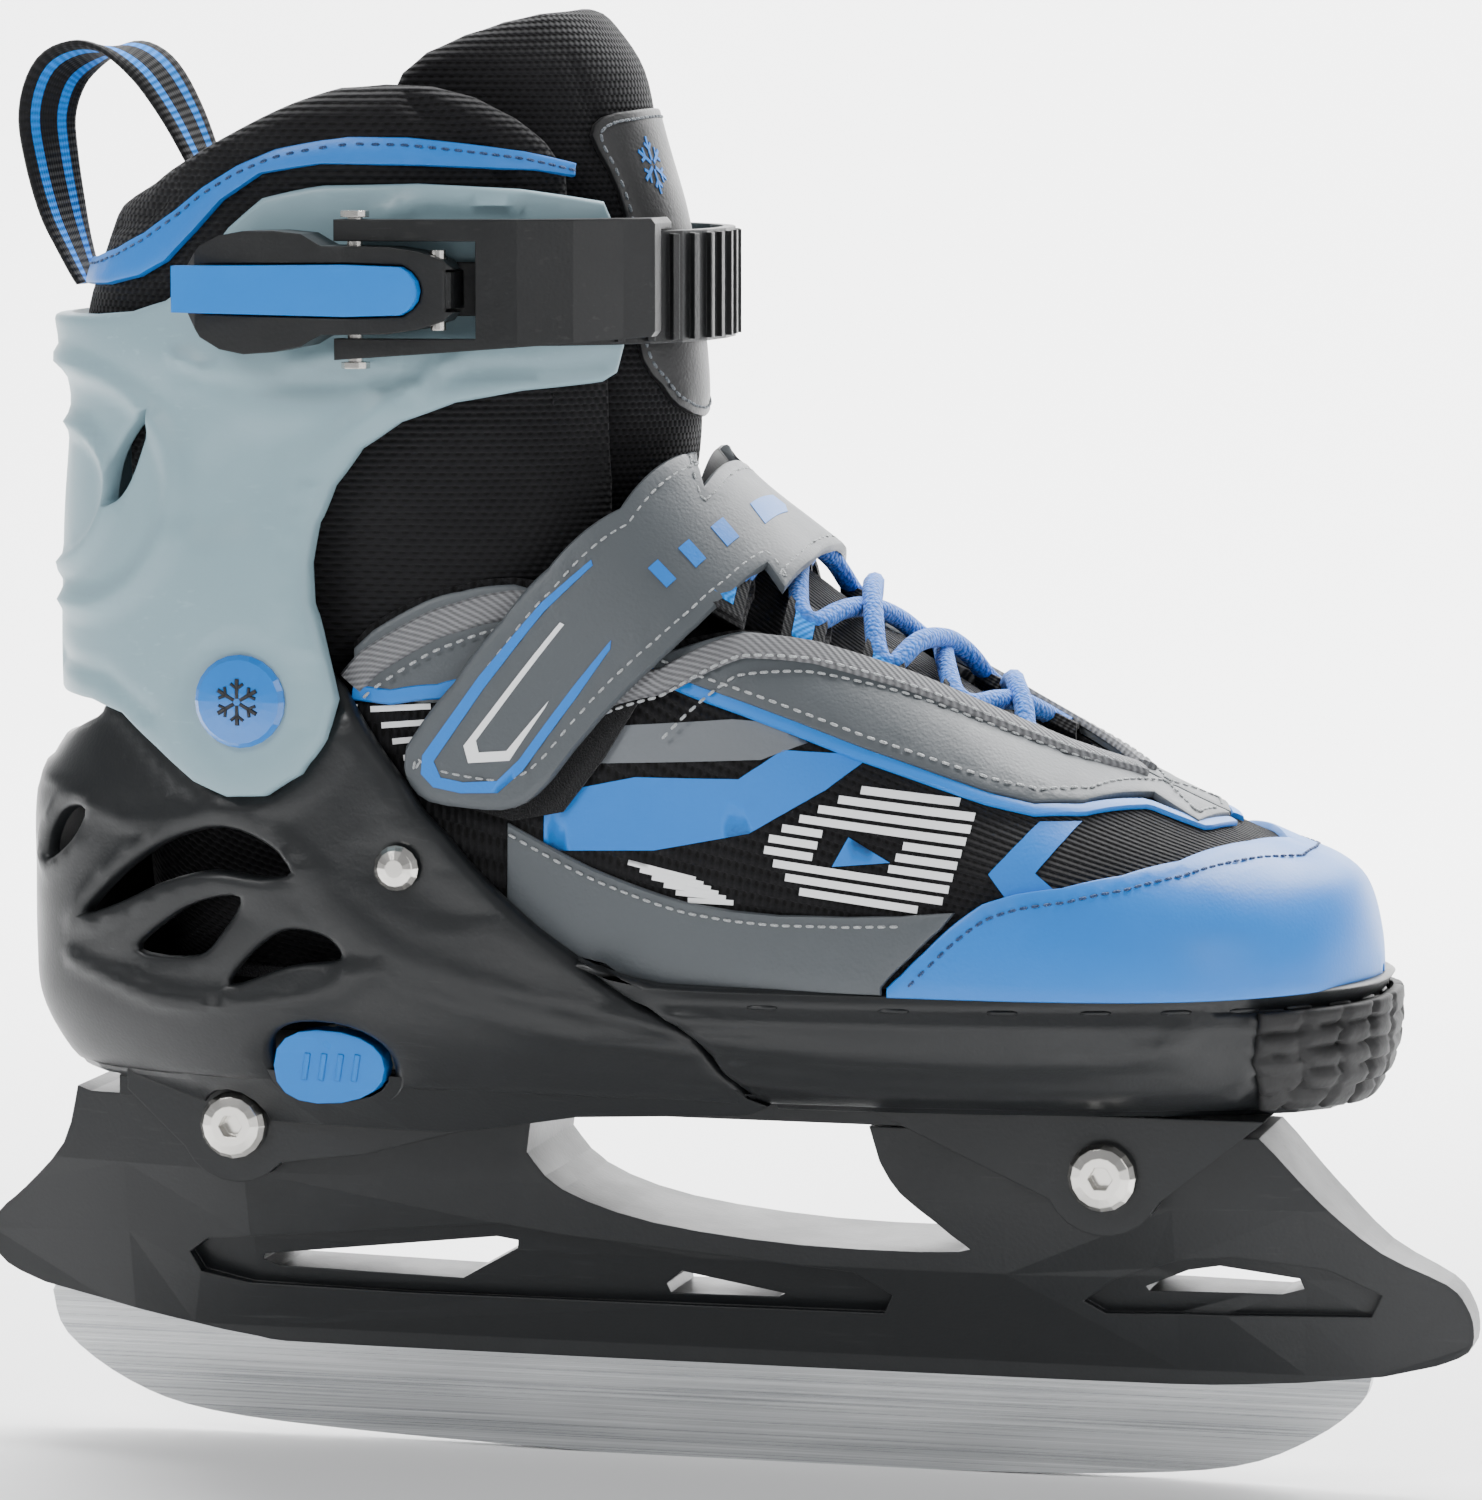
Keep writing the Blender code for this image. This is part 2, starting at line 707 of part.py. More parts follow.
def shell_vents():
    """Side vents: a small one by the heel, an arched slash and two below it."""
    arched = smooth([(-119, 106), (-108, 116), (-98, 122), (-87, 124.6), (-78, 122), (-72.5, 117),
                     (-79, 115.4), (-90, 116.2), (-100, 113.6), (-110, 109)], 1, True)
    lower_back = smooth([(-107, 99.6), (-101, 105.4), (-93, 110), (-84, 111.4), (-88, 104.6),
                         (-94, 99.4)], 1, True)
    lower_front = smooth([(-87, 94), (-81, 101.6), (-74, 105.6), (-66, 104.6), (-63.4, 100.4),
                          (-74, 98.4)], 1, True)
    return [arched, lower_back, lower_front]


def heel_shell():
    body = within(lower_boot(0.0), extrude_y(shell_profile(), -70, 70))
    lugs = [(REAR_BOLT_X - 22, 71)] + arc(REAR_BOLT_X, REAR_BOLT_Z, BOLT_HEAD_DIAMETER / 2 + 5, 205, 320, 7)
    lugs += [(REAR_BOLT_X + 26, 60), (REAR_BOLT_X + 50, 66.5), (REAR_BOLT_X + 50, 76),
             (REAR_BOLT_X - 22, 76)]
    body = plus(body, extrude_y(lugs, -CHEEK_OUTER, CHEEK_OUTER))
    cavity = lower_boot(-SHELL_WALL, SOLE_BOTTOM_Z + SHELL_WALL, 170)
    body = minus(body, cavity)
    # Channel for the holder's rear post and the base plate, between the two bolt lugs.
    body = minus(body, box(-150, 60, -CHEEK_INNER, CHEEK_INNER, 30, SOLE_BOTTOM_Z))
    # Seats for the cuff's lobes, cut into both faces.
    depth = cuff_side(PIVOT_X, PIVOT_Z) - CUFF_WALL - SLIDE_GAP
    seat = lobe_outline(SLIDE_GAP + 0.4, 4.0) + [(-150, 146), (-150, 180), (-55, 180), (-55, 152)]
    for side in (-1, 1):
        body = minus(body, extrude_y(seat, *sorted((side * depth, side * 90))))
    # Bosses that carry the cuff's pivots, each with a recess inside for the rivet's flange.
    for side in (-1, 1):
        face = pivot_boss_face()
        boss = disc(PIVOT_X, PIVOT_Z, BOSS_RADIUS, *sorted((side * face, side * 60)), 20)
        body = plus(body, within(boss, leg_form(-CUFF_WALL - 1.2, 120, 180)))
        recess = sorted((side * (face - 6), side * face))
        body = minus(body, disc(PIVOT_X, PIVOT_Z, RIVET_FLANGE + GAP, *recess, 20))
    for outline in shell_vents():
        body = minus(body, extrude_y(outline, -70, 70))
    heel_vent = smooth([(-128.5, 115), (-129, 119), (-124, 125.4), (-118, 126), (-122, 119)], 1, True)
    for side in (-1, 1):
        body = minus(body, extrude_y(heel_vent, *sorted((side * 10, side * 70))))
    # Bores for the rear bolt, the wing rivets, the cuff pivots and the size button.
    body = minus(body, disc(REAR_BOLT_X, REAR_BOLT_Z, BOLT_DIAMETER / 2 + GAP, -60, 60))
    face = CHEEK_OUTER
    for side in (-1, 1):
        spot = sorted((side * face, side * 60))
        body = minus(body, disc(REAR_BOLT_X, REAR_BOLT_Z, BOLT_HEAD_DIAMETER / 2 + 1.0, *spot))
    body = minus(body, disc(RIVET_X, RIVET_Z, 2.4, -70, 70, 16))
    body = minus(body, disc(PIVOT_X, PIVOT_Z, PIVOT_SHANK / 2 + GAP, -70, 70))
    return minus(body, button_outline_block(GAP + 0.2, -70, -20))


def wing_rivet(side):
    outside = shell_side(RIVET_X, RIVET_Z)
    radius = RIVET_DIAMETER / 2
    profile = [(2.0, outside - SHELL_WALL), (2.0, outside + GAP), (radius, outside + GAP),
               (radius, outside + 0.9), (radius * 0.78, outside + 2.0), (radius * 0.4, outside + 2.5)]
    return turned(profile, RIVET_X, RIVET_Z, 16, side)


def pivot_boss_face():
    """The flat inner face of the shell's pivot boss."""
    return cuff_side(PIVOT_X, PIVOT_Z) - CUFF_WALL - BOSS_DEPTH


def pivot_rivet(side):
    inner = pivot_boss_face()
    cuff_face = cuff_side(PIVOT_X, PIVOT_Z)
    profile = [(RIVET_FLANGE, inner - 1.6), (RIVET_FLANGE, inner - GAP), (PIVOT_SHANK / 2, inner - GAP),
               (PIVOT_SHANK / 2, cuff_face - 1.9), (6.6, cuff_face - 1.9), (6.6, cuff_face - 0.9)]
    return turned(profile, PIVOT_X, PIVOT_Z, 16, side)


def pivot_cap(side):
    cuff_face = cuff_side(PIVOT_X, PIVOT_Z)
    radius = CAP_DIAMETER / 2
    profile = [(radius, cuff_face - 0.5), (radius, cuff_face + 0.6), (radius * 0.9, cuff_face + 1.5),
               (radius * 0.55, cuff_face + CAP_HEIGHT - 0.8), (radius * 0.2, cuff_face + CAP_HEIGHT - 0.5)]
    return turned(profile, PIVOT_X, PIVOT_Z, 24, side)


def button_outline_block(grow, y0, y1):
    half_length = BUTTON_LENGTH / 2 + grow
    half_height = BUTTON_HEIGHT / 2 + grow
    outline = []
    for i in range(18):
        angle = 2 * math.pi * i / 18
        taper = 1.0 - 0.12 * math.cos(angle)
        outline.append((BUTTON_X + half_length * power(math.cos(angle), 0.86),
                        BUTTON_Z + half_height * taper * power(math.sin(angle), 0.86)))
    return extrude_y(outline, y0, y1)


def button_face():
    """How far out the shell's wall lies around the button."""
    return shell_side(BUTTON_X, BUTTON_Z)


def size_button():
    face = button_face()
    cap = button_outline_block(0.0, -face - 1.4, -face + 4.0)
    stem = turned([(3.0, -face + 3.5), (3.0, -face + 8.0)], BUTTON_X, BUTTON_Z + 2.5, 16)
    return plus(cap, stem)


def button_spring():
    """Compression spring around the button's stem, as a closed coil."""
    face = button_face()
    coil_radius, wire = 4.6, 0.45
    turns, per_turn, around = 2, 12, 4
    rings = []
    for i in range(turns * per_turn + 1):
        angle = 2 * math.pi * i / per_turn
        y = -face + 4.8 + 2.6 * i / (turns * per_turn)
        out = Vector((math.cos(angle), 0, math.sin(angle)))
        centre = Vector((BUTTON_X, y, BUTTON_Z + 2.5)) + out * coil_radius
        ring = []
        for k in range(around):
            turn = 2 * math.pi * k / around
            ring.append(centre + out * wire * math.cos(turn) + Vector((0, wire * math.sin(turn), 0)))
        rings.append(ring)
    return loft(rings)


# ---------------------------------------------------------------- liner


def foot_half_plane(angle, above):
    """A large block on one side of a ray that leaves the cuff pivot towards the instep."""
    direction = Vector((math.cos(math.radians(angle)), math.sin(math.radians(angle))))
    far = Vector((PIVOT_X, PIVOT_Z)) + direction * 400
    near = Vector((PIVOT_X, PIVOT_Z))
    lift = 400 if above else -400
    return extrude_y([tuple(near), tuple(far), (far.x, far.y + lift), (near.x, near.y + lift)], -90, 90)


def liner_foot():
    """Padded inner boot up to a round edge about the cuff pivot, open above for the foot."""
    low = SOLE_BOTTOM_Z + SHELL_WALL + 4.0
    body = foot_form(0.0, low, 204)
    wedge = foot_half_plane(11, False)
    inside_round = disc(PIVOT_X, PIVOT_Z, LINER_JOINT_RADIUS, -90, 90, 28)
    region = plus(wedge, inside_round, box(-200, PIVOT_X, -90, 90, 40, PIVOT_Z))
    body = within(body, region)
    cavity = foot_form(-LINER_WALL, FOOTBED_Z - INSOLE_THICKNESS - GAP, 240)
    return minus(body, cavity)


def insole():
    low = FOOTBED_Z - INSOLE_THICKNESS
    return foot_form(-LINER_WALL - 2 * GAP, low, FOOTBED_Z)


def liner_collar():
    body = collar_form(0.0, 141, 268)
    rim = smooth([(-128, 238), (-113, 243.5), (-105, 247), (-90, 254), (-73, 262), (-62, 265.4),
                  (-45, 265), (-34, 262), (-27, 257), (-22, 252), (-15, 244)], 2)
    keep = extrude_y([(-140, 100), (20, 100), (20, 242)] + rim[::-1] + [(-140, 236)], -90, 90)
    body = within(body, keep)
    body = minus(body, collar_form(-COLLAR_WALL, 130, 280))
    body = minus(body, disc(PIVOT_X, PIVOT_Z, LINER_JOINT_RADIUS + 1.2, -90, 90, 28))
    body = minus(body, box(-200, PIVOT_X, -90, 90, 40, PIVOT_Z + 1.2), foot_half_plane(31.5, False))
    half = HALF_ANKLE - 44.5 + 25
    slot = extrude_z([(-44, -half + 3), (-17, -half), (10, -half), (10, half), (-17, half),
                      (-44, half - 3)], 130, 290)
    return minus(body, slot)


def tongue():
    body = tongue_form(0.0, 177, 282)
    crown = smooth([(-62, 258), (-58, 264), (-52, 271.5), (-38, 277), (-27, 280), (-19, 277)], 2)
    keep = extrude_y([(-62, 200), (-30, 197), (10, 208), (10, 277)] + crown[::-1], -90, 90)
    body = within(body, keep)
    return minus(body, tongue_form(-TONGUE_THICKNESS, 170, 290))


def tongue_shield():
    outline = [(-3, 200), (-8.5, 209), (-12.5, 215), (-15, 240), (-18, 248), (-21, 255),
               (-19, 258), (5, 258), (5, 200)]
    return band(tongue_form, outline, GAP, GAP + 1.2, low=190, high=270)


def collar_trim():
    """Synthetic band around the collar, just above the cuff's top edge."""
    lower = [(-130, 224), (-112, 225.5), (-100, 228), (-94, 231), (-86, 241.5), (-78, 247),
             (-66, 248.8), (-28, 247.4), (-22.5, 246.2)]
    upper = [(-22.5, 249), (-41, 253), (-61, 254.5), (-75, 251.6), (-90, 244),
             (-103, 235.4), (-116, 230.4), (-130, 228)]
    return band(collar_form, lower + upper, GAP, GAP + 1.0, low=215, high=262)


def pull_loop():
    """Webbing loop at the heel: out of the cuff, up and over into the collar."""
    path = smooth([(-128.4, 229), (-131.6, 238), (-134.6, 252), (-133.6, 263), (-128, 269.6),
                   (-120, 270.6), (-113, 267), (-107.4, 259), (-102.4, 250), (-99, 243)], 3)
    rings = []
    for i, (x, z) in enumerate(path):
        before, after = path[max(i - 1, 0)], path[min(i + 1, len(path) - 1)]
        along = Vector((after[0] - before[0], 0, after[1] - before[1])).normalized()
        t = i / (len(path) - 1)
        turn = math.radians(90 - 55 * math.sin(math.pi * t) ** 1.0)
        across = Vector((math.cos(turn), math.sin(turn), 0))
        across = (across - along * across.dot(along)).normalized()
        normal = along.cross(across)
        centre = Vector((x, 0, z))
        ring = []
        for a, b in ((-1, -1), (1, -1), (1, 1), (-1, 1)):
            ring.append(centre + across * 5.8 * a + normal * 0.7 * b)
        rings.append(ring)
    return loft(rings)


# ---------------------------------------------------------------- cuff


def cuff_outline():
    """Side outline of the cuff, from the front flap round the heel to the pivot lobe."""
    flap = [(-11.2, 239), (-12.5, 243), (-28, 245), (-65, 246), (-77, 244), (-84, 238.6),
            (-92, 228), (-97, 224.4), (-105, 222), (-115, 221), (-140, 221)]
    heel = [(-140, 150), (PIVOT_X - 46, 150.6), (PIVOT_X - 27, 144.6), (PIVOT_X - 19, 139.5)]
    lobe = arc(PIVOT_X, PIVOT_Z, LOBE_RADIUS, -118, 10, 12)
    throat = smooth([(-64.4, 160), (-67, 168), (-68, 176), (-66.6, 184), (-62, 193.4), (-57, 199),
                     (-50, 203), (-40, 206), (-28, 208), (-16, 209.4)], 2)
    return flap + heel + lobe + throat + [(-12.2, 210.6), (-11, 214)]


def cuff():
    body = within(leg_form(0.0, 122, 250), extrude_y(cuff_outline(), -80, 80))
    body = minus(body, leg_form(-CUFF_WALL, 110, 260))
    window = smooth([(-101, 203.6), (-107, 199), (-110.6, 193), (-111.4, 185), (-106.4, 188.6),
                     (-103, 196)], 2, True)
    body = minus(body, extrude_y(window, -80, 80))
    # A bore and a counterbore on each side for the pivot rivet and its cap.
    cuff_face = cuff_side(PIVOT_X, PIVOT_Z)
    bore = PIVOT_SHANK / 2 + GAP
    body = minus(body, disc(PIVOT_X, PIVOT_Z, bore, -80, 80))
    for side in (-1, 1):
        seat = sorted((side * (cuff_face - 2.3), side * 80))
        body = minus(body, disc(PIVOT_X, PIVOT_Z, CAP_DIAMETER / 2 + GAP, *seat, 24))
    for x in BASE_RIVETS_X:
        body = minus(body, disc(x, STRAP_Z, BASE_RIVET_RADIUS + GAP, -80, -20, 12))
    return minus(body, disc(LADDER_ROOT_X, STRAP_Z, 1.9, 20, 80, 12))


# ---------------------------------------------------------------- buckle


def buckle_ring(grow, low, high):
    """The buckle runs parallel to the cuff's side and round its front."""
    ring = plan_ring(0, -130.4, -3.0, HALF_ANKLE, grow, 2.35, 36)
    return loft([[(x, y, z) for x, y, _ in ring] for z in (low, high)])


def buckle_base():
    """Bracket on the cuff whose ear carries the lever's pin between the lever's two walls."""
    low, high = STRAP_Z - 5, STRAP_Z + 5
    plate = within(buckle_ring(LADDER_GROW - GAP, low, high), box(-53, -28.5, -80, 0, low, high))
    ear = box(LEVER_X - 3.0, LEVER_X + 3.0, -LEVER_Y, -30, STRAP_Z - 3.4, STRAP_Z + 3.4)
    ear = plus(ear, post(LEVER_X, -LEVER_Y, 3.0, STRAP_Z - 3.4, STRAP_Z + 3.4, 16))
    body = minus(plus(plate, ear), buckle_ring(GAP, low - 9, high + 9))
    for x in BASE_RIVETS_X:
        body = minus(body, disc(x, STRAP_Z, BASE_RIVET_RADIUS + GAP, -80, -20, 12))
    return minus(body, post(LEVER_X, -LEVER_Y, PIN_DIAMETER / 2 + GAP, low - 9, high + 9))


def base_rivet(x):
    """Flush rivet that holds the buckle base to the cuff."""
    face = cuff_side(x, STRAP_Z)
    profile = [(BASE_RIVET_RADIUS, face - CUFF_WALL + 0.9), (BASE_RIVET_RADIUS, face + 0.9)]
    return turned(profile, x, STRAP_Z, 12, -1)


def lever_pin():
    return post(LEVER_X, -LEVER_Y, PIN_DIAMETER / 2, STRAP_Z - 7.4, STRAP_Z + 7.4)


def buckle_lever():
    """Tapered lever: two walls around the base and the arm pin, a solid tail to pull on."""
    y = -LEVER_Y
    nose = [(LEVER_X + LEVER_REACH * math.cos(math.radians(a)), y + LEVER_REACH * math.sin(math.radians(a)))
            for a in (90, 60, 30, 0, -30, -55)]
    plan = nose + [(LEVER_X - 4, y - 5.6), (LEVER_X - 16, y - 7.0), (LEVER_X - 32, y - 6.6),
                   (LEVER_TAIL_X + 3, y - 4.0), (LEVER_TAIL_X, y - 1.6), (LEVER_TAIL_X + 3, y + 1.6),
                   (ARM_PIN_X - 9, y + LEVER_REACH)]
    body = extrude_z(plan, STRAP_Z - 13, STRAP_Z + 13)
    side = smooth([(LEVER_X + 5.5, STRAP_Z), (LEVER_X + 2, STRAP_Z + 5.6), (LEVER_X - 8, STRAP_Z + 8),
                   (ARM_PIN_X - 4.5, STRAP_Z + 8.2), (ARM_PIN_X - 8.5, STRAP_Z + 10.4),
                   (ARM_PIN_X - 20, STRAP_Z + 10.8), (LEVER_TAIL_X + 4, STRAP_Z + 8),
                   (LEVER_TAIL_X, STRAP_Z), (LEVER_TAIL_X + 4, STRAP_Z - 9),
                   (ARM_PIN_X - 20, STRAP_Z - 12), (ARM_PIN_X - 8.5, STRAP_Z - 10.4),
                   (ARM_PIN_X - 4.5, STRAP_Z - 8.2), (LEVER_X - 8, STRAP_Z - 8),
                   (LEVER_X + 2, STRAP_Z - 5.6)], 2, True)
    body = within(body, extrude_y(side, -80, -40))
    inside = box(LEVER_X - 5, LEVER_X + 20, y - 3.6, y + 9, STRAP_Z - 3.9, STRAP_Z + 3.9)
    hollow = box(ARM_PIN_X - 14, LEVER_X - 4.6, y - 3.6, y + 9, STRAP_Z - 5.4, STRAP_Z + 5.4)
    body = minus(body, inside, hollow)
    body = minus(body, lever_insert_block(GAP, 4.2, 20.0))
    bore = PIN_DIAMETER / 2 + GAP
    body = minus(body, post(LEVER_X, y, bore, STRAP_Z - 7.9, STRAP_Z + 7.9))
    return minus(body, post(ARM_PIN_X, y, bore, STRAP_Z - 20, STRAP_Z + 20))


def lever_insert_block(grow, depth, height):
    """Long grip insert, square at the tail and round at its nose."""
    half = 4.8 + grow
    nose = LEVER_X - 2.0 + grow
    tail = LEVER_TAIL_X - 0.5 - grow
    outline = [(tail, STRAP_Z - half * 0.9), (ARM_PIN_X, STRAP_Z - half)]
    outline += [(nose - half * 1.1 + half * 1.1 * math.sin(a), STRAP_Z - half * math.cos(a))
                for a in [math.pi * i / 8 for i in range(1, 8)]]
    outline += [(ARM_PIN_X, STRAP_Z + half), (tail, STRAP_Z + half * 0.9)]
    return extrude_y(outline, -LEVER_Y - height, -LEVER_Y - depth)


def lever_insert():
    return lever_insert_block(0.0, 4.2 + GAP, 7.4)


def buckle_arm():
    """Moulded arm over the ladder strap, forked at the back around the lever."""
    low, high = STRAP_Z - ARM_HEIGHT / 2, STRAP_Z + ARM_HEIGHT / 2
    inner = LADDER_GROW + LADDER_THICKNESS + RIB_HEIGHT + GAP
    back = ARM_PIN_X - 3.2
    side = [(back, low), (-5, low + 4), (-4.4, low + 5), (-4.4, high - 1), (-5, high), (back, high)]
    body = within(buckle_ring(inner + ARM_THICKNESS, low - 5, high + 5), extrude_y(side, -80, 0))
    half = LADDER_HEIGHT / 2 + GAP
    body = minus(body, buckle_ring(inner, STRAP_Z - half, STRAP_Z + half))
    body = minus(body, buckle_ring(LADDER_GROW, low - 20, high + 20))
    body = minus(body, box(back - 9, LEVER_X + 7, -80, -20, STRAP_Z - 9.0, STRAP_Z + 9.0))
    bore = PIN_DIAMETER / 2 + GAP
    return minus(body, post(ARM_PIN_X, -LEVER_Y, bore, STRAP_Z - 30, STRAP_Z + 30))


def arm_pin():
    half = ARM_HEIGHT / 2 + GAP
    pin = post(ARM_PIN_X, -LEVER_Y, PIN_DIAMETER / 2, STRAP_Z - half - 0.5, STRAP_Z + half + 0.5)
    for low in (STRAP_Z - half - 1.2, STRAP_Z + half):
        pin = plus(pin, post(ARM_PIN_X, -LEVER_Y, PIN_HEAD_DIAMETER / 2, low, low + 1.2))
    return pin


def ladder_strap():
    """Ribbed strap from the inner side round the shin into the arm."""
    low, high = STRAP_Z - LADDER_HEIGHT / 2, STRAP_Z + LADDER_HEIGHT / 2
    body = buckle_ring(LADDER_GROW + LADDER_THICKNESS, low, high)
    body = minus(body, buckle_ring(LADDER_GROW, low - 9, high + 9))
    body = minus(body, box(-200, LADDER_ROOT_X - 7, -90, 90, 150, 300))
    body = minus(body, box(-200, LEVER_X + 9, -90, 0, 150, 300))
    body = plus(body, ladder_ribs(low, high))
    return minus(body, disc(LADDER_ROOT_X, STRAP_Z, 2.3, 20, 80, 12))


def ladder_ribs(low, high):
    """Ratchet ribs across the bare front of the strap."""
    ring = buckle_ring(LADDER_GROW + LADDER_THICKNESS + RIB_HEIGHT, low + 0.6, high - 0.6)
    blank = minus(ring, buckle_ring(LADDER_GROW + 1.0, low - 9, high + 9))
    blocks = None
    for i in range(RIB_COUNT):
        angle = math.radians(-44 + i * RIB_STEP_DEG)
        spot = Vector((-66.7 + 66 * math.cos(angle), 47 * math.sin(angle)))
        out = Vector((47 * math.cos(angle), 66 * math.sin(angle))).normalized()
        along = Vector((-out.y, out.x)) * RIB_WIDTH / 2
        out *= 12
        corners = [spot - along - out, spot - along + out, spot + along + out, spot + along - out]
        block = extrude_z([tuple(corner) for corner in corners], low - 9, high + 9)
        blocks = plus(blocks, block) if blocks else block
    return within(blank, blocks)


def ladder_rivet():
    face = cuff_side(LADDER_ROOT_X, STRAP_Z)
    outside = face + LADDER_GROW + LADDER_THICKNESS + 4 * GAP
    profile = [(1.5, face - CUFF_WALL), (1.5, outside), (3.6, outside), (3.6, outside + 0.8),
               (2.2, outside + 1.6)]
    return turned(profile, LADDER_ROOT_X, STRAP_Z, 16)


# ---------------------------------------------------------------- sliding toe


def toe_sole():
    """Hollow forefoot sole with a narrower sleeve that telescopes into the shell."""
    body = toe_form(0.0, SOLE_BOTTOM_Z, SOLE_TOP_Z)
    front_edge = [(x + SLIDE_GAP + 0.4, z) for x, z in wing_edge()[4:]]
    outline = [(160, 60), (160, 110), (front_edge[0][0], 110)] + front_edge + [(19, 60)]
    body = within(body, extrude_y(outline, -80, 80))
    body = minus(body, toe_form(-SOLE_WALL, SOLE_BOTTOM_Z + SHELL_WALL + 2.4, SOLE_TOP_Z + 5))
    sleeve_low = SOLE_BOTTOM_Z + SHELL_WALL + SLIDE_GAP
    half = 0.526 * HALF_BOOT
    rings = []
    for x in (13 - TOE_TRAVEL - 2 * SLEEVE_LAP, 34):
        right = [(half, sleeve_low), (half + 8, 88), (half + 13, SOLE_TOP_Z - 2),
                 (half + 11, SOLE_TOP_Z - 2), (half + 6, 88), (half - 2, sleeve_low + 2)]
        left = [(-y, z) for y, z in right[::-1]]
        rings.append([(x, y, z) for y, z in right + left])
    return plus(body, loft(rings))


def toe_bumper():
    """Rubber bumper whose outer face is grooved into square tread blocks."""
    outline = [(110, 76.5), (150, 76.5), (150, 97), (113, 97)]
    body = band(toe_form, outline, GAP, GAP + BUMPER_THICKNESS, low=74, high=98.5)
    grooves = [box(60, 160, -90, 90, z, z + TREAD_GROOVE) for z in (81.6, 86.6, 91.6)]
    for i in range(7):
        y = swing(125) - 21 + 7 * i
        grooves.append(box(118, 160, y, y + TREAD_GROOVE, 70, 100))
    for groove in grooves:
        core = toe_form(GAP + BUMPER_THICKNESS - TREAD_DEPTH, 60, 110)
        tread = minus(groove, core)
        body = combine(body, tread, "DIFFERENCE", "MANIFOLD")
    return body


def ankle_opening():
    """What is cut away above the upper's binding line, seen from the side."""
    return [(-90, 150), (-66, 158), (-59, 163.6), (-50, 168.6), (-41, 171.6), (-31, 173), (-20, 171),
            (-8, 167.5), (-1, 300), (-90, 300)]


def throat_cut(grow=0.0):
    """The lacing throat from above: wide at the ankle, closed behind the toe."""
    outline = [(-30, -35), (-1, -33.5), (12, -29), (25, -25), (42, -20), (60, -14.5), (70, -10.5),
               (76, -6)]
    side = [(x, y - grow) for x, y in outline]
    other = [(x, -y + grow) for x, y in outline[::-1]]
    return extrude_z([(x, y + swing(x)) for x, y in side + [(79 + grow, 0)] + other], 90, 320)


def upper():
    body = upper_form(0.0)
    body = minus(body, upper_cavity())
    body = minus(body, extrude_y(ankle_opening(), -90, 90))
    return minus(body, throat_cut())


def upper_cavity():
    """Room for the foot: the form shrunk by the wall, open below and behind."""
    inside = upper_form(-UPPER_WALL)
    inside.data.transform(Matrix.Translation((0, 0, -1.0 * MM)))
    return plus(inside, upper_tail())


def upper_tail():
    """The shrunk form's rear section, carried past the upper's back edge."""
    half = 38.0 + HALF_BOOT - 47.5 - UPPER_WALL
    return box(-70, -61, -half, half, 90, 300)


def over_upper(outline, inner, outer, y0=-80.0, y1=80.0):
    return band(upper_form, outline, inner, outer, y0, y1)


def toe_cap():
    outline = [(45, 99.6), (51.5, 106.5), (57, 112), (64, 115.6), (75, 117.6), (94, 121.4),
               (112, 124.4), (150, 127), (150, 99.6)]
    return over_upper(outline, GAP, GAP + OVERLAY)


def rand_overlay(side):
    outline = [(-30, 125), (-14, 119), (5, 113.6), (23, 112), (36, 112), (53, 112.6),
               (49.6, 107), (43, 99.6), (-6, 99.6), (-30, 116)]
    ends = sorted((side * 0.0, side * 80.0))
    return over_upper(outline, GAP, GAP + OVERLAY, *ends)


def eyestay(side):
    outline = [(-6, 160), (10, 152), (37, 142), (55, 136), (67, 132), (80, 131.6), (88, 131.6),
               (95, 132), (95, 190), (-6, 190)]
    ends = sorted((side * 1.2, side * 80.0))
    layer = over_upper(outline, GAP, GAP + OVERLAY, *ends)
    return minus(layer, throat_cut(1.2))


def lace_height(x):
    """The laces lie on the tongue just under the eyestays' edges."""
    return table([(-5, 180), (10, 172), (25, 163.5), (42, 154), (60, 144.5), (75, 137)], x)[0]


def laces():
    """One lace, zigzag across the throat over the liner."""
    centre = []
    rungs = [(70, -9), (59, 13), (47, -17), (34, 20), (21, -23.5)]
    for x, y in rungs:
        centre.append((x, y + swing(x), lace_height(x) + 1.2))
    path = []
    for a, b in zip(centre, centre[1:]):
        middle = tuple((p + q) / 2 for p, q in zip(a, b))
        path += [a, (middle[0], middle[1], middle[2] + 8.5)]
    path.append(centre[-1])
    curve = bpy.data.curves.new("laces", "CURVE")
    curve.dimensions = "3D"
    curve.bevel_depth = 1.6 * MM
    curve.bevel_resolution = 1
    curve.use_fill_caps = True
    spline = curve.splines.new("POLY")
    points = smooth(path, 4)
    spline.points.add(len(points) - 1)
    for target, point in zip(spline.points, points):
        target.co = (*(Vector(point) * MM), 1.0)
    guide = bpy.data.objects.new("laces_guide", curve)
    bpy.context.scene.collection.objects.link(guide)
    graph = bpy.context.evaluated_depsgraph_get()
    mesh = bpy.data.meshes.new_from_object(guide.evaluated_get(graph))
    clean(mesh)
    bpy.data.objects.remove(guide)
    obj = bpy.data.objects.new("laces", mesh)
    bpy.context.scene.collection.objects.link(obj)
    return obj


# ---------------------------------------------------------------- instep strap


def strap_outline():
    return smooth([(-50, 141), (-49, 134), (-45, 130.6), (-32, 129.6), (-25, 132), (-19, 138)], 2) + [
        (-10, 149), (4, 163), (13, 172), (19, 176), (19.5, 178.4), (16, 190), (-1, 200), (-13, 184),
        (-24, 174), (-32, 164.6), (-41, 153)]


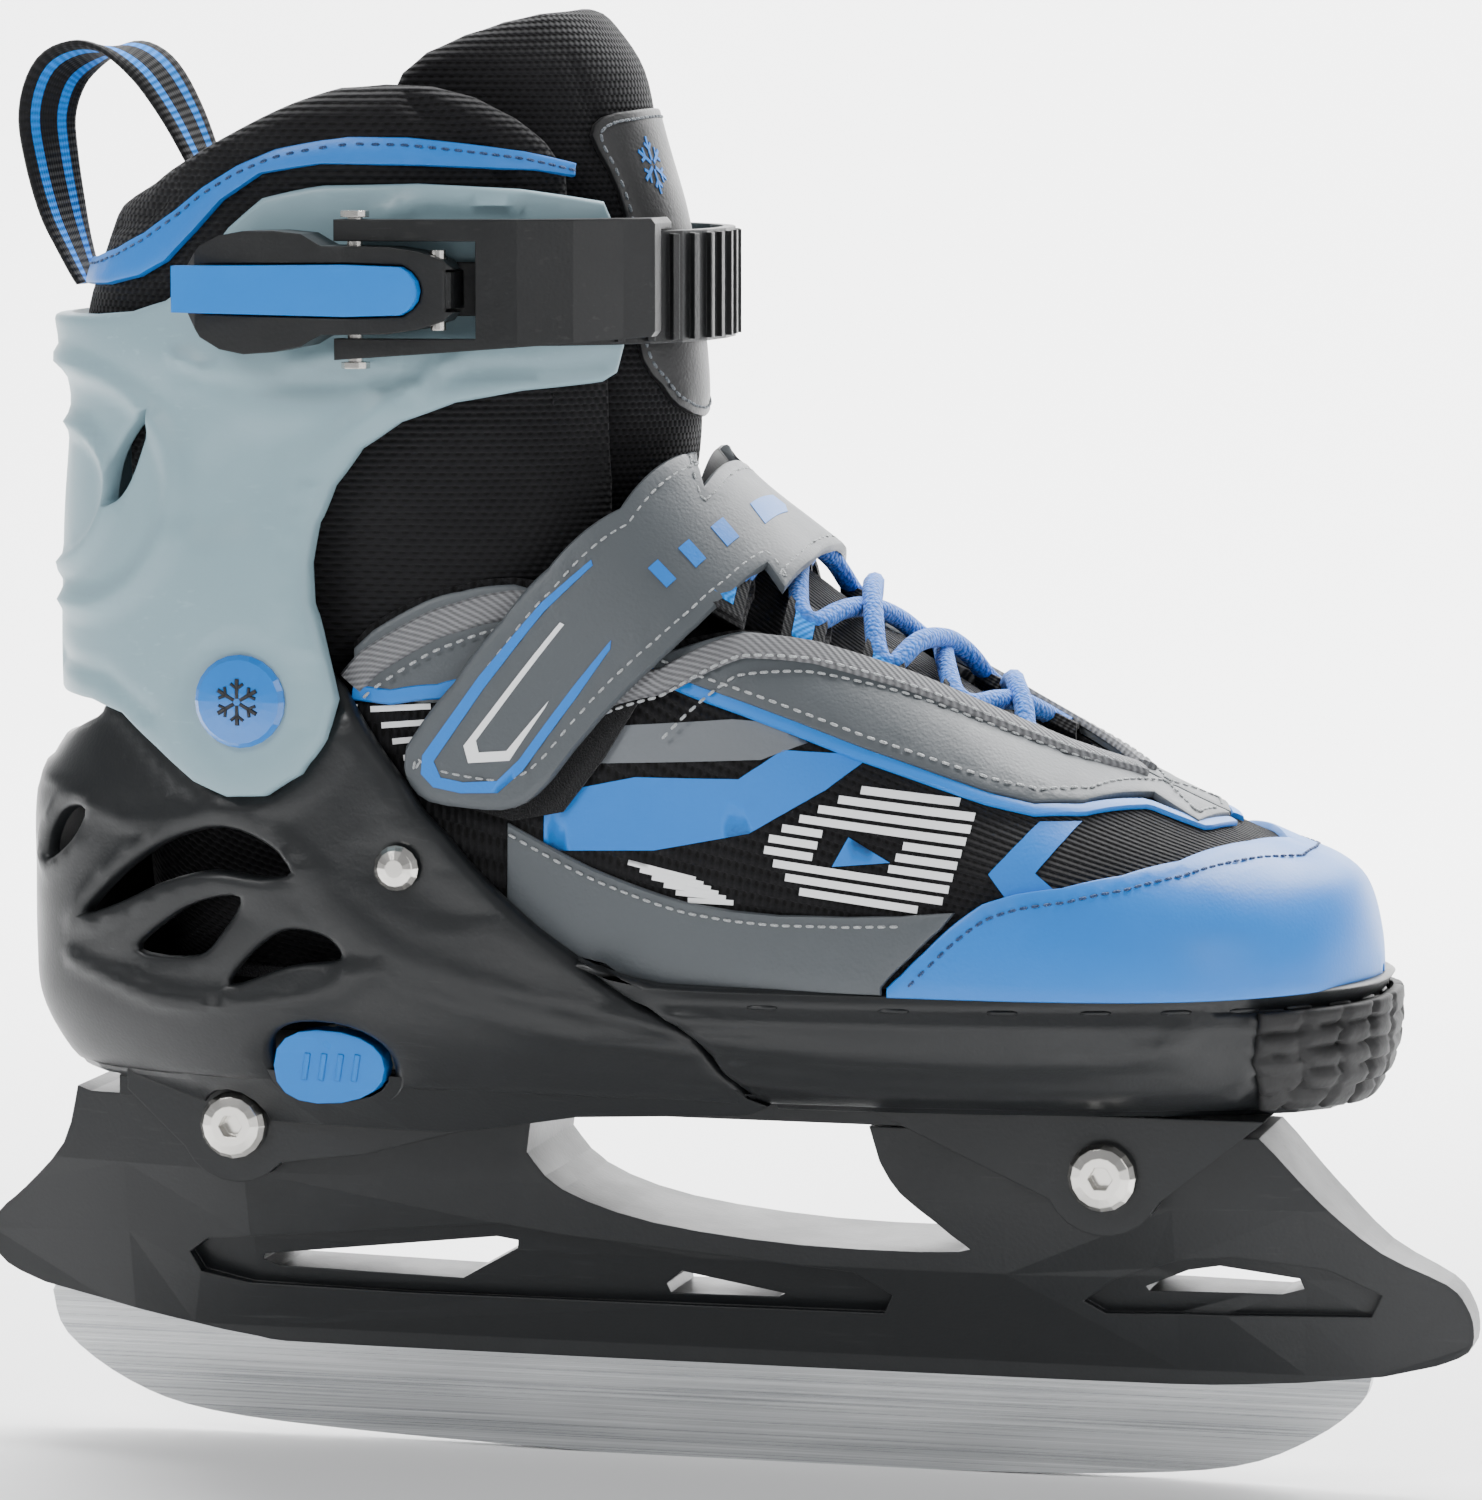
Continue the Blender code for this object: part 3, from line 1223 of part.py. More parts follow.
def instep_strap():
    """Free flap of the strap, from its fold over the instep down to its tip on the outer side."""
    return band(upper_form, strap_outline(), GAP + OVERLAY + 2.2, GAP + OVERLAY + 4.0, -80, STRAP_FOLD_Y)


def strap_root():
    """Sewn-down half of the strap on the inner side."""
    return band(upper_form, strap_outline(), GAP + OVERLAY + 2.2, GAP + OVERLAY + 4.0, STRAP_FOLD_Y + GAP, 80)


def strap_hook_pad():
    outline = [(-44, 141), (-43, 134), (-30, 134), (-22, 141), (-14, 150), (-26, 160)]
    return band(upper_form, outline, GAP + OVERLAY + 0.9, GAP + OVERLAY + 1.8, -80, 0)


def loop_field():
    outline = [(-46, 137), (-44, 131), (-30, 127.5), (-20, 129.5), (-12, 140), (-6, 150), (-22, 160)]
    return band(upper_form, outline, GAP, GAP + OVERLAY, -80, 0)


# ---------------------------------------------------------------- assembly


def place(name, body, obj, finish, empties):
    """Name a finished solid, give it its material and hang it on its body's axis."""
    axis = Vector(BODY_AXES[body]) * MM
    obj.name = name
    obj.data.name = name
    obj.data.transform(Matrix.Translation(-axis))
    clean(obj.data)
    obj.data.materials.clear()
    obj.data.materials.append(material(finish))
    obj.data.shade_smooth()
    obj.data.set_sharp_from_angle(angle=math.radians(38))
    obj.parent = empties[body]


def build():
    clear_scene()
    empties = make_body_axes()
    pieces = [
        ("blade", "chassis", blade(), BLADE_STEEL),
        ("blade_holder", "chassis", blade_holder(), BLACK_PLASTIC),
        ("base_plate", "chassis", base_plate(), BLACK_PLASTIC),
        ("front_bolt", "chassis", bolt(FRONT_BOLT_X, FRONT_BOLT_Z, CHEEK_OUTER), FASTENER),
        ("front_sleeve_nut", "chassis", sleeve_nut(FRONT_BOLT_X, FRONT_BOLT_Z, CHEEK_OUTER), FASTENER),
        ("rear_bolt", "chassis", bolt(REAR_BOLT_X, REAR_BOLT_Z, CHEEK_OUTER), FASTENER),
        ("rear_sleeve_nut", "chassis", sleeve_nut(REAR_BOLT_X, REAR_BOLT_Z, CHEEK_OUTER), FASTENER),
        ("heel_shell", "chassis", heel_shell(), BLACK_PLASTIC),
        ("wing_rivet_lateral", "chassis", wing_rivet(-1), FASTENER),
        ("wing_rivet_medial", "chassis", wing_rivet(1), FASTENER),
        ("pivot_rivet_lateral", "chassis", pivot_rivet(-1), FASTENER),
        ("pivot_rivet_medial", "chassis", pivot_rivet(1), FASTENER),
        ("liner_foot", "chassis", liner_foot(), BLACK_MESH),
        ("insole", "chassis", insole(), FOAM),
        ("size_button", "button", size_button(), BLUE_PLASTIC),
        ("button_spring", "button", button_spring(), FASTENER),
        ("cuff", "cuff", cuff(), CUFF_PLASTIC),
        ("pivot_cap_lateral", "cuff", pivot_cap(-1), BLUE_PLASTIC),
        ("pivot_cap_medial", "cuff", pivot_cap(1), BLUE_PLASTIC),
        ("liner_collar", "cuff", liner_collar(), BLACK_MESH),
        ("collar_trim", "cuff", collar_trim(), BLUE_PU),
        ("pull_loop", "cuff", pull_loop(), BLACK_MESH),
        ("tongue", "cuff", tongue(), BLACK_MESH),
        ("tongue_shield", "cuff", tongue_shield(), GREY_PU),
        ("buckle_base", "cuff", buckle_base(), FASTENER),
        ("base_rivet_rear", "cuff", base_rivet(BASE_RIVETS_X[0]), FASTENER),
        ("base_rivet_front", "cuff", base_rivet(BASE_RIVETS_X[1]), FASTENER),
        ("lever_pin", "cuff", lever_pin(), FASTENER),
        ("ladder_rivet", "cuff", ladder_rivet(), FASTENER),
        ("buckle_lever", "lever", buckle_lever(), BLACK_PLASTIC),
        ("lever_insert", "lever", lever_insert(), BLUE_PLASTIC),
        ("arm_pin", "lever", arm_pin(), FASTENER),
        ("buckle_arm", "arm", buckle_arm(), BLACK_PLASTIC),
        ("ladder_strap", "ladder", ladder_strap(), BLACK_PLASTIC),
        ("toe_sole", "toe", toe_sole(), BLACK_PLASTIC),
        ("toe_bumper", "toe", toe_bumper(), RUBBER),
        ("upper", "toe", upper(), BLACK_MESH),
        ("toe_cap", "toe", toe_cap(), BLUE_PU),
        ("rand_lateral", "toe", rand_overlay(-1), GREY_PU),
        ("rand_medial", "toe", rand_overlay(1), GREY_PU),
        ("eyestay_lateral", "toe", eyestay(-1), GREY_PU),
        ("eyestay_medial", "toe", eyestay(1), GREY_PU),
        ("loop_field", "toe", loop_field(), BLACK_MESH),
        ("laces", "toe", laces(), BLUE_CORD),
        ("strap_root", "toe", strap_root(), GREY_PU),
        ("instep_strap", "instep", instep_strap(), GREY_PU),
        ("strap_hook_pad", "instep", strap_hook_pad(), BLACK_MESH),
    ]
    for name, body, obj, finish in pieces:
        place(name, body, obj, finish, empties)


build()
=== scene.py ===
"""Ice skate: finishes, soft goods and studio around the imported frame. Lengths in mm unless named _m."""
import math
import random
import bpy
import bmesh
from mathutils import Vector, Matrix
from mathutils.geometry import delaunay_2d_cdt


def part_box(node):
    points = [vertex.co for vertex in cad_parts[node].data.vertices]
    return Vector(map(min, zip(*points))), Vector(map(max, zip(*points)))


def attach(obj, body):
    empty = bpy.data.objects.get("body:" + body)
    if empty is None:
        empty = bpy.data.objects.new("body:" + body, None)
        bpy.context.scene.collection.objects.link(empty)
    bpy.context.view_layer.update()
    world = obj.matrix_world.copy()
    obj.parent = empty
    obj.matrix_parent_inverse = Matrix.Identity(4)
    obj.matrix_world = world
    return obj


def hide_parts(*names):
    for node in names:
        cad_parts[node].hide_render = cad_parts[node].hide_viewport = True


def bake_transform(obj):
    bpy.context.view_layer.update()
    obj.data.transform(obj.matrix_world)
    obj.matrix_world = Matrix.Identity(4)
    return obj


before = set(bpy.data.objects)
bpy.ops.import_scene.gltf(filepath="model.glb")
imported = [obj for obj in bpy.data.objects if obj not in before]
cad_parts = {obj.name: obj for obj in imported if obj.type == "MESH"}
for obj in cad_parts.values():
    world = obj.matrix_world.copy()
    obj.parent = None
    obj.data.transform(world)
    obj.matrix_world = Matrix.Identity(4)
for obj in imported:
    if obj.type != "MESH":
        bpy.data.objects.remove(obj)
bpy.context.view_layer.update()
MM = 0.001
LATERAL, MEDIAL = -1, 1

# The skate's own sizes, the same as the model's.
HALF_BOOT = 47.5
HALF_ANKLE = 44.5
PIVOT = (-81.6, 149.3)
RIVET = (-51.1, 118.6)
BUTTON = (-67.1, 79.1)
SOLE_TOP = 99.0
STRAP_Z = 227.0
LEVER_PIN = (-41.0, -49.5)
ARM_PIN = (-57.0, -49.5)

# Stations of each form: height, back, front, half width.
SHELL_ROWS = [(66, -112, 110, 28.5), (74, -127, 122, 34.2), (80, -132, 126, 38.5), (88, -135.4, 128.4, 42.75),
              (97, -136, 129, 44.65), (112, -136, 129, 45.4), (128, -135.5, 129, 45.4), (134, -132, 129, 45.4),
              (156, -118, 129, 44.65)]
TOE_ROWS = [(73, -130, 121, 29.5), (77, -132, 125, 37.05), (83, -134, 128, 43.7), (90, -136, 129, 46.8),
            (99, -136, 128.5, 47.5)]
CUFF_ROWS = [(120, -127, -8, 45.4), (150, -129.4, -6, 45.2), (180, -129, -4, 44.5), (204, -127.4, -3, 44.5),
             (214, -128.2, -3, 44.5), (221, -130.4, -3, 44.5), (250, -130.4, -3, 44.5)]
COLLAR_ROWS = [(140, -124.5, -14, 40.7), (200, -123.4, -11, 40.7), (222, -123.6, -11, 40.7),
               (234, -120, -12, 40.7), (247, -114, -14, 40.7), (257, -111, -17, 39.5), (268, -107, -20, 36.9)]
TONGUE_ROWS = [(160, -110, -9, 25.5), (176, -110, -7, 25.5), (202, -110, -4.2, 25.5), (216, -110, -4.8, 25.5),
               (238, -108, -8, 25.5), (252, -106, -12, 25.5), (265, -104, -16, 25.0), (275, -102, -21, 23.5),
               (282, -100, -27, 21.0)]
# Stations of the sewn upper: way over its top line, distance along, top height, half width.
UPPER_ROWS = [(-62, -62, 262, 38.0), (-46, -46, 250, 38.2), (-30, -30, 228, 38.8), (-15, -15, 207, 40.6),
              (0, 0, 189, 43.0), (15, 15, 177, 44.8), (30, 30, 166, 45.8), (45, 45, 156, 46.4),
              (60, 60, 146.5, 46.6), (75, 75, 138, 46.0), (88, 88, 131.4, 44.0), (100, 100, 126, 40.0),
              (110.8, 110, 122, 33.5), (119.3, 118, 119.0, 25.0), (125, 122.5, 115.5, 17.0),
              (133, 125.2, 108, 9.0), (142, 126.6, 99.6, 0.8)]


# ---------------------------------------------------------------- small geometry


def power(value, exponent):
    return math.copysign(abs(value) ** exponent, value)


def table(rows, key):
    """Values between the rows of a station table, on a curve through them."""
    last = len(rows) - 1
    if key <= rows[0][0]:
        return rows[0][1:]
    if key >= rows[last][0]:
        return rows[last][1:]
    at = next(i for i in range(last) if rows[i + 1][0] >= key)
    a, b, c, d = rows[max(at - 1, 0)], rows[at], rows[at + 1], rows[min(at + 2, last)]
    span = c[0] - b[0]
    t = (key - b[0]) / span
    found = []
    for i in range(1, len(b)):
        into = (c[i] - a[i]) / max(c[0] - a[0], 1e-6) * span
        out = (d[i] - b[i]) / max(d[0] - b[0], 1e-6) * span
        found.append((2 * t ** 3 - 3 * t * t + 1) * b[i] + (t ** 3 - 2 * t * t + t) * into
                     + (3 * t * t - 2 * t ** 3) * c[i] + (t ** 3 - t * t) * out)
    return tuple(found)


def smooth(points, steps=4, closed=False):
    """Catmull-Rom curve through a few chosen points."""
    count = len(points)
    found = []
    for i in range(count if closed else count - 1):
        if closed:
            p = [points[(i + k) % count] for k in (-1, 0, 1, 2)]
        else:
            p = [points[min(max(i + k, 0), count - 1)] for k in (-1, 0, 1, 2)]
        for step in range(steps):
            t = step / steps
            found.append(tuple(
                0.5 * (2 * b + (c - a) * t + (2 * a - 5 * b + 4 * c - d) * t * t
                       + (3 * b - 3 * c + d - a) * t ** 3)
                for a, b, c, d in zip(*p)))
    if not closed:
        found.append(tuple(points[-1]))
    return found


def resample(points, pitch, closed=True):
    """The same line with its points evenly spaced along each stretch; every given point, and so every corner, stays."""
    loop = list(points) + ([points[0]] if closed else [])
    found = []
    for a, b in zip(loop, loop[1:]):
        length = math.dist(a, b)
        if length < 1e-6:
            continue
        steps = max(1, round(length / pitch))
        for i in range(steps):
            t = i / steps
            found.append(tuple(p + (q - p) * t for p, q in zip(a, b)))
    if not closed:
        found.append(tuple(loop[-1]))
    return found


def even(points, pitch, closed=False):
    """Points at an even pitch along a line, whatever the line's own points."""
    loop = list(points) + ([points[0]] if closed else [])
    total = sum(math.dist(a, b) for a, b in zip(loop, loop[1:]))
    count = max(1, round(total / pitch))
    step = total / count
    found, want, gone = [tuple(loop[0])], step, 0.0
    for a, b in zip(loop, loop[1:]):
        length = math.dist(a, b)
        while length > 0 and gone + length >= want - 1e-9 and len(found) <= count:
            t = (want - gone) / length
            found.append(tuple(p + (q - p) * t for p, q in zip(a, b)))
            want += step
        gone += length
    return found[:-1] if closed and len(found) > count else found


def area(loop):
    return sum(a[0] * b[1] - b[0] * a[1] for a, b in zip(loop, loop[1:] + loop[:1])) / 2


def inset(loop, distance):
    """The loop moved inwards, which is to its left when it runs anticlockwise."""
    found = []
    count = len(loop)
    for i, spot in enumerate(loop):
        before, after = Vector(loop[i - 1]), Vector(loop[(i + 1) % count])
        here = Vector(spot)
        a = (here - before).normalized()
        b = (after - here).normalized()
        normal = Vector((-(a + b).y, (a + b).x))
        if normal.length < 1e-4:
            normal = Vector((-a.y, a.x))
        normal.normalize()
        square = max(0.5, normal.dot(Vector((-a.y, a.x))))
        found.append(tuple(here + normal * distance / square))
    return found


def inside(point, loop):
    x, y = point
    found = False
    j = len(loop) - 1
    for i, (xi, yi) in enumerate(loop):
        xj, yj = loop[j]
        if (yi > y) != (yj > y) and x < (xj - xi) * (y - yi) / (yj - yi) + xi:
            found = not found
        j = i
    return found


def to_line(x, y, line):
    """Distance from a point to a polyline."""
    best = 1e9
    for (ax, ay), (bx, by) in zip(line, line[1:]):
        dx, dy = bx - ax, by - ay
        t = max(0.0, min(1.0, ((x - ax) * dx + (y - ay) * dy) / (dx * dx + dy * dy + 1e-9)))
        best = min(best, (x - ax - dx * t) ** 2 + (y - ay - dy * t) ** 2)
    return math.sqrt(best)


def ease(value):
    value = max(0.0, min(1.0, value))
    return value * value * (3 - 2 * value)


def ridge(x, y, line, half_width, height):
    """A rounded ridge (or a groove, for a negative height) along a line."""
    return height * ease(1 - to_line(x, y, line) / half_width)


def dish(x, y, loop, soft, height):
    """A raised or sunk field inside a loop, with a sloping border."""
    if not inside((x, y), loop):
        return 0.0
    return height * ease(to_line(x, y, loop + loop[:1]) / soft)


def swing(x):
    return 5.0 * (max(0.0, x - 20) / 110) ** 2


# ---------------------------------------------------------------- forms


class RingForm:
    """A form made of superellipse rings. u runs round it in mm, v is the height."""

    def __init__(self, rows, bulge, from_back, turn=False, around=45.0):
        self.rows, self.bulge, self.from_back, self.turn, self.around = rows, bulge, from_back, turn, around

    def base(self, u, v):
        back, front, half = table(self.rows, v)
        angle = u / self.around
        facing = -1 if self.from_back else 1
        x = (back + front) / 2 + facing * (front - back) / 2 * power(math.cos(angle), 2 / self.bulge)
        y = half * power(math.sin(angle), 2 / self.bulge)
        return Vector((x, y + (swing(x) if self.turn else 0.0), v))

    def side(self, x, z, side):
        """(u, v) of the point seen at (x, z) from the given side."""
        back, front, _ = table(self.rows, z)
        share = (x - (back + front) / 2) / ((front - back) / 2) * (-1 if self.from_back else 1)
        share = max(-1.0, min(1.0, share))
        return (side * math.acos(power(share, self.bulge / 2)) * self.around, z)

    def frame(self, u, v):
        spot = self.base(u, v)
        du = self.base(u + 0.2, v) - self.base(u - 0.2, v)
        dv = self.base(u, v + 0.2) - self.base(u, v - 0.2)
        out = du.cross(dv) * (-1 if self.from_back else 1)
        return spot, out.normalized() if out.length > 1e-9 else Vector((0, 0, 1))


class ArchForm:
    """The sewn upper's form. u is the way along its top line, v runs over it in mm: 0 is the top."""

    def __init__(self, rows, bulge, around=78.0):
        self.rows, self.bulge, self.around = rows, bulge, around
        self.along = [(row[1], row[0]) for row in rows]

    def base(self, u, v):
        x, top, half = table(self.rows, u)
        angle = (1 - min(abs(v) / self.around, 1.0)) * math.pi / 2
        y = math.copysign(half * power(math.cos(angle), 2 / self.bulge), v)
        z = SOLE_TOP + (top - SOLE_TOP) * power(math.sin(angle), 2 / self.bulge)
        return Vector((x, y + swing(x), z - max(abs(v) - self.around, 0.0)))

    def side(self, x, z, side):
        """(u, v) of the point seen at (x, z) from the given side."""
        u = table(self.along, x)[0]
        _, top, _ = table(self.rows, u)
        share = max(0.0, min(1.0, (z - SOLE_TOP) / max(top - SOLE_TOP, 0.1)))
        return (u, side * (1 - math.asin(share ** (self.bulge / 2)) / (math.pi / 2)) * self.around)

    def above(self, x, y):
        """(u, v) of the point seen at (x, y) from above, y from the turned centre line."""
        u = table(self.along, x)[0]
        half = table(self.rows, u)[2]
        angle = math.acos(min(1.0, abs(y) / half) ** (self.bulge / 2))
        return (u, math.copysign((1 - angle / (math.pi / 2)) * self.around, y))

    def frame(self, u, v):
        spot = self.base(u, v)
        du = self.base(min(u + 0.2, 142), v) - self.base(min(u - 0.2, 141.6), v)
        dv = self.base(u, v + 0.4) - self.base(u, v - 0.4)
        out = du.cross(dv)
        return spot, out.normalized() if out.length > 1e-9 else Vector((0, 0, 1))


SHELL = RingForm(SHELL_ROWS, 2.6, True, True)
TOE = RingForm(TOE_ROWS, 2.6, False, True)
CUFF = RingForm(CUFF_ROWS, 2.35, True)
COLLAR = RingForm(COLLAR_ROWS, 2.35, True)
TONGUE = RingForm(TONGUE_ROWS, 2.35, False)
UPPER = ArchForm(UPPER_ROWS, 2.25)


# ---------------------------------------------------------------- making pieces


def finish_piece(obj, name, body, material, replaced=()):
    obj.name = name
    obj.data.name = name
    bpy.context.scene.collection.objects.link(obj)
    obj.data.materials.append(material)
    if body:
        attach(obj, body)
    if replaced:
        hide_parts(*replaced)
    return obj


def mesh_piece(name, points, faces, body, material, replaced=(), lay=None, sharp=40, spots=None):
    """One object from points in mm. lay holds each point's place on its form, for weaves and prints."""
    mesh = bpy.data.meshes.new(name)
    mesh.from_pydata([Vector(point) * MM for point in points], [], faces)
    if lay:
        found = mesh.attributes.new("lay", "FLOAT_VECTOR", "POINT")
        found.data.foreach_set("vector", [value * MM for place in lay for value in (place[0], place[1], 0.0)])
    if spots:
        tint = mesh.attributes.new("tint", "FLOAT", "POINT")
        tint.data.foreach_set("value", spots)
    mesh.validate()
    edit = bmesh.new()
    edit.from_mesh(mesh)
    bmesh.ops.recalc_face_normals(edit, faces=edit.faces)
    edit.to_mesh(mesh)
    edit.free()
    mesh.shade_smooth()
    mesh.set_sharp_from_angle(angle=math.radians(sharp))
    return finish_piece(bpy.data.objects.new(name, mesh), name, body, material, replaced)


def anticlockwise(loop):
    return list(loop) if area(loop) > 0 else list(loop)[::-1]


def sheet_faces(loops, pitch):
    """Points and triangles that fill the first loop and leave the others open."""
    places, edges = [], []
    for loop in loops:
        start = len(places)
        places += loop
        edges += [(start + i, start + (i + 1) % len(loop)) for i in range(len(loop))]
    outer = loops[0]
    low_u, high_u = min(p[0] for p in outer), max(p[0] for p in outer)
    low_v, high_v = min(p[1] for p in outer), max(p[1] for p in outer)
    rows = int((high_v - low_v) / pitch) + 1
    columns = int((high_u - low_u) / pitch) + 1
    borders = [loop + loop[:1] for loop in loops]
    for j in range(1, rows):
        for i in range(columns + 1):
            spot = (low_u + (i + 0.5 * (j % 2)) * pitch, low_v + j * pitch)
            if not inside(spot, outer) or any(inside(spot, hole) for hole in loops[1:]):
                continue
            if min(to_line(*spot, border) for border in borders) > pitch * 0.55:
                places.append(spot)
    result = delaunay_2d_cdt([Vector(place) for place in places], edges, [], 0, 1e-5)
    found = [tuple(vert) for vert in result[0]]
    faces = []
    for face in result[2]:
        centre = (sum(found[i][0] for i in face) / 3, sum(found[i][1] for i in face) / 3)
        if inside(centre, outer) and not any(inside(centre, hole) for hole in loops[1:]):
            faces.append(tuple(face))
    origin = {}
    for new, olds in enumerate(result[3]):
        for old in olds:
            origin[old] = new
    return found, faces, [origin.get(i, 0) for i in range(sum(len(loop) for loop in loops))]


def patch(name, form, loop, body, material, lift=0.0, thick=1.0, pitch=2.4, edge=0.5, holes=(),
          sculpt=None, lines=(), replaced=(), edge_pitch=None, sharp=40, rolled=False):
    """A closed layer that lies on a form inside a loop of (u, v), with rounded edges.

    sculpt(u, v, point) adds to its height; lines are (line, half width, height) ridges or seams.
    A rolled layer has round edges on both faces."""
    edge_pitch = edge_pitch or pitch * 0.7
    edge = min(edge, thick / 2 if rolled else thick)
    outlines = [resample(anticlockwise(loop), edge_pitch)]
    outlines += [resample(anticlockwise(hole), edge_pitch)[::-1] for hole in holes]
    turns = [math.pi / 2 * k / (4 if edge > 1.5 else 2) for k in range(5 if edge > 1.5 else 3)]
    arc = [(edge * (1 - math.cos(turn)), thick - edge * (1 - math.sin(turn))) for turn in turns]
    steps = ([(way, thick - height) for way, height in arc[::-1]][1:] if rolled else [(0.0, 0.0)]) + arc
    tops = [inset(outline, edge) for outline in outlines]
    places, faces, first = sheet_faces(tops, pitch)

    def put(place, height):
        spot, out = form.frame(*place)
        if height > 0:
            for line, half, rise in lines:
                height += ridge(*place, line, half, rise)
            if sculpt:
                height += sculpt(place[0], place[1], spot)
        return spot + out * (lift + height)

    points = [put(place, thick) for place in places]
    lay = list(places)
    bottom = len(points)
    points += [form.frame(*place)[0] + form.frame(*place)[1] * lift for place in places]
    lay += list(places)
    all_faces = [tuple(face) for face in faces]
    all_faces += [tuple(i + bottom for i in face[::-1]) for face in faces]
    start = 0
    for outline in outlines:
        count = len(outline)
        rows = []
        for way, height in steps[:-1]:
            row = inset(outline, way) if way else outline
            rows.append(list(range(len(points), len(points) + count)))
            points += [put(place, height) for place in row]
            lay += list(row)
        top_row = first[start:start + count]
        start += count
        rows.append(top_row)
        rows.insert(0, [i + bottom for i in top_row])
        for low, high in zip(rows, rows[1:]):
            for i in range(count):
                j = (i + 1) % count
                face = [low[i], low[j], high[j], high[i]]
                if len(set(face)) > 2:
                    all_faces.append(tuple(dict.fromkeys(face)))
    return mesh_piece(name, points, all_faces, body, material, replaced, lay, sharp)


def loft_piece(name, rings, body, material, replaced=(), sharp=40, lay=None):
    """A closed solid through rings of equal length, capped at both ends."""
    points, faces = [], []
    count = len(rings[0])
    for ring in rings:
        points += list(ring)
    for r in range(len(rings) - 1):
        for i in range(count):
            j = (i + 1) % count
            faces.append((r * count + i, r * count + j, (r + 1) * count + j, (r + 1) * count + i))
    faces.append(tuple(range(count))[::-1])
    faces.append(tuple(range(len(points) - count, len(points))))
    return mesh_piece(name, points, faces, body, material, replaced, lay, sharp)


def sweep_rings(path, section, first_normal=None):
    """Rings that carry a flat section along a path without twist. section(t) gives its points."""
    rings = []
    path = [Vector(point) for point in path]
    normal = Vector(first_normal) if first_normal else None
    for i, spot in enumerate(path):
        along = (path[min(i + 1, len(path) - 1)] - path[max(i - 1, 0)]).normalized()
        if normal is None:
            normal = along.orthogonal()
        normal = (normal - along * normal.dot(along)).normalized()
        across = along.cross(normal)
        t = i / (len(path) - 1)
        rings.append([spot + across * a + normal * b for a, b in section(t)])
    return rings


def circle(radius, sides=8, squash=1.0):
    return [(radius * math.cos(2 * math.pi * i / sides), radius * squash * math.sin(2 * math.pi * i / sides))
            for i in range(sides)]


def on(form, line, lift):
    """Points in space of a (u, v) line, lifted off its form."""
    found = []
    for place in line:
        spot, out = form.frame(*place)
        found.append(spot + out * lift)
    return found


def piping(name, form, line, body, material, slot, lift, radius, sides=8, squash=1.0, replaced=()):
    path = on(form, even(line, 1.6), lift)

    def section(t):
        taper = min(1.0, 0.3 + 12 * t, 0.3 + 12 * (1 - t))
        return circle(radius * taper, sides, squash)
    return loft_piece(name, sweep_rings(path, section), body, material, replaced)


def stitches(name, body, material, seams, pitch=2.3, length=1.55, radius=0.26):
    """Thread dashes along seams of (form, line, lift)."""
    points, faces = [], []
    profile = [(-0.5, 0.45), (-0.32, 1.0), (0.32, 1.0), (0.5, 0.45)]
    sides = 5
    for form, line, lift in seams:
        path = on(form, even(line, pitch), lift)
        outs = [form.frame(*place)[1] for place in even(line, pitch)]
        for a, b, out in zip(path, path[1:], outs):
            along = b - a
            if along.length < 0.3:
                continue
            along = along.normalized()
            across = along.cross(out).normalized()
            middle = (a + b) / 2
            start = len(points)
            for t, share in profile:
                for k in range(sides):
                    turn = 2 * math.pi * k / sides
                    points.append(middle + along * t * length + across * radius * share * math.cos(turn)
                                  + out * radius * share * 0.8 * math.sin(turn))
            for r in range(len(profile) - 1):
                for k in range(sides):
                    j = (k + 1) % sides
                    base = start + r * sides
                    faces.append((base + k, base + j, base + sides + j, base + sides + k))
            faces.append(tuple(start + k for k in range(sides))[::-1])
            faces.append(tuple(start + (len(profile) - 1) * sides + k for k in range(sides)))
    return mesh_piece(name, points, faces, body, material, sharp=80)


# ---------------------------------------------------------------- shader parts


def node(tree, kind, values=None, **settings):
    made = tree.nodes.new(kind)
    for key, value in settings.items():
        setattr(made, key, value)
    for key, value in (values or {}).items():
        if isinstance(value, bpy.types.NodeSocket):
            tree.links.new(value, made.inputs[key])
        else:
            made.inputs[key].default_value = value
    return made


def maths(tree, operation, a, b=0.0, c=None):
    made = node(tree, "ShaderNodeMath", {0: a, 1: b}, operation=operation)
    if c is not None:
        made.inputs[2].default_value = c
    return made.outputs[0]


def new_group(name, inputs, outputs):
    group = bpy.data.node_groups.new(name, "ShaderNodeTree")
    for label, kind, value in inputs:
        socket = group.interface.new_socket(label, in_out="INPUT", socket_type="NodeSocket" + kind)
        if value is not None:
            socket.default_value = value
    for label, kind in outputs:
        group.interface.new_socket(label, in_out="OUTPUT", socket_type="NodeSocket" + kind)
    return group, group.nodes.new("NodeGroupInput").outputs, group.nodes.new("NodeGroupOutput").inputs


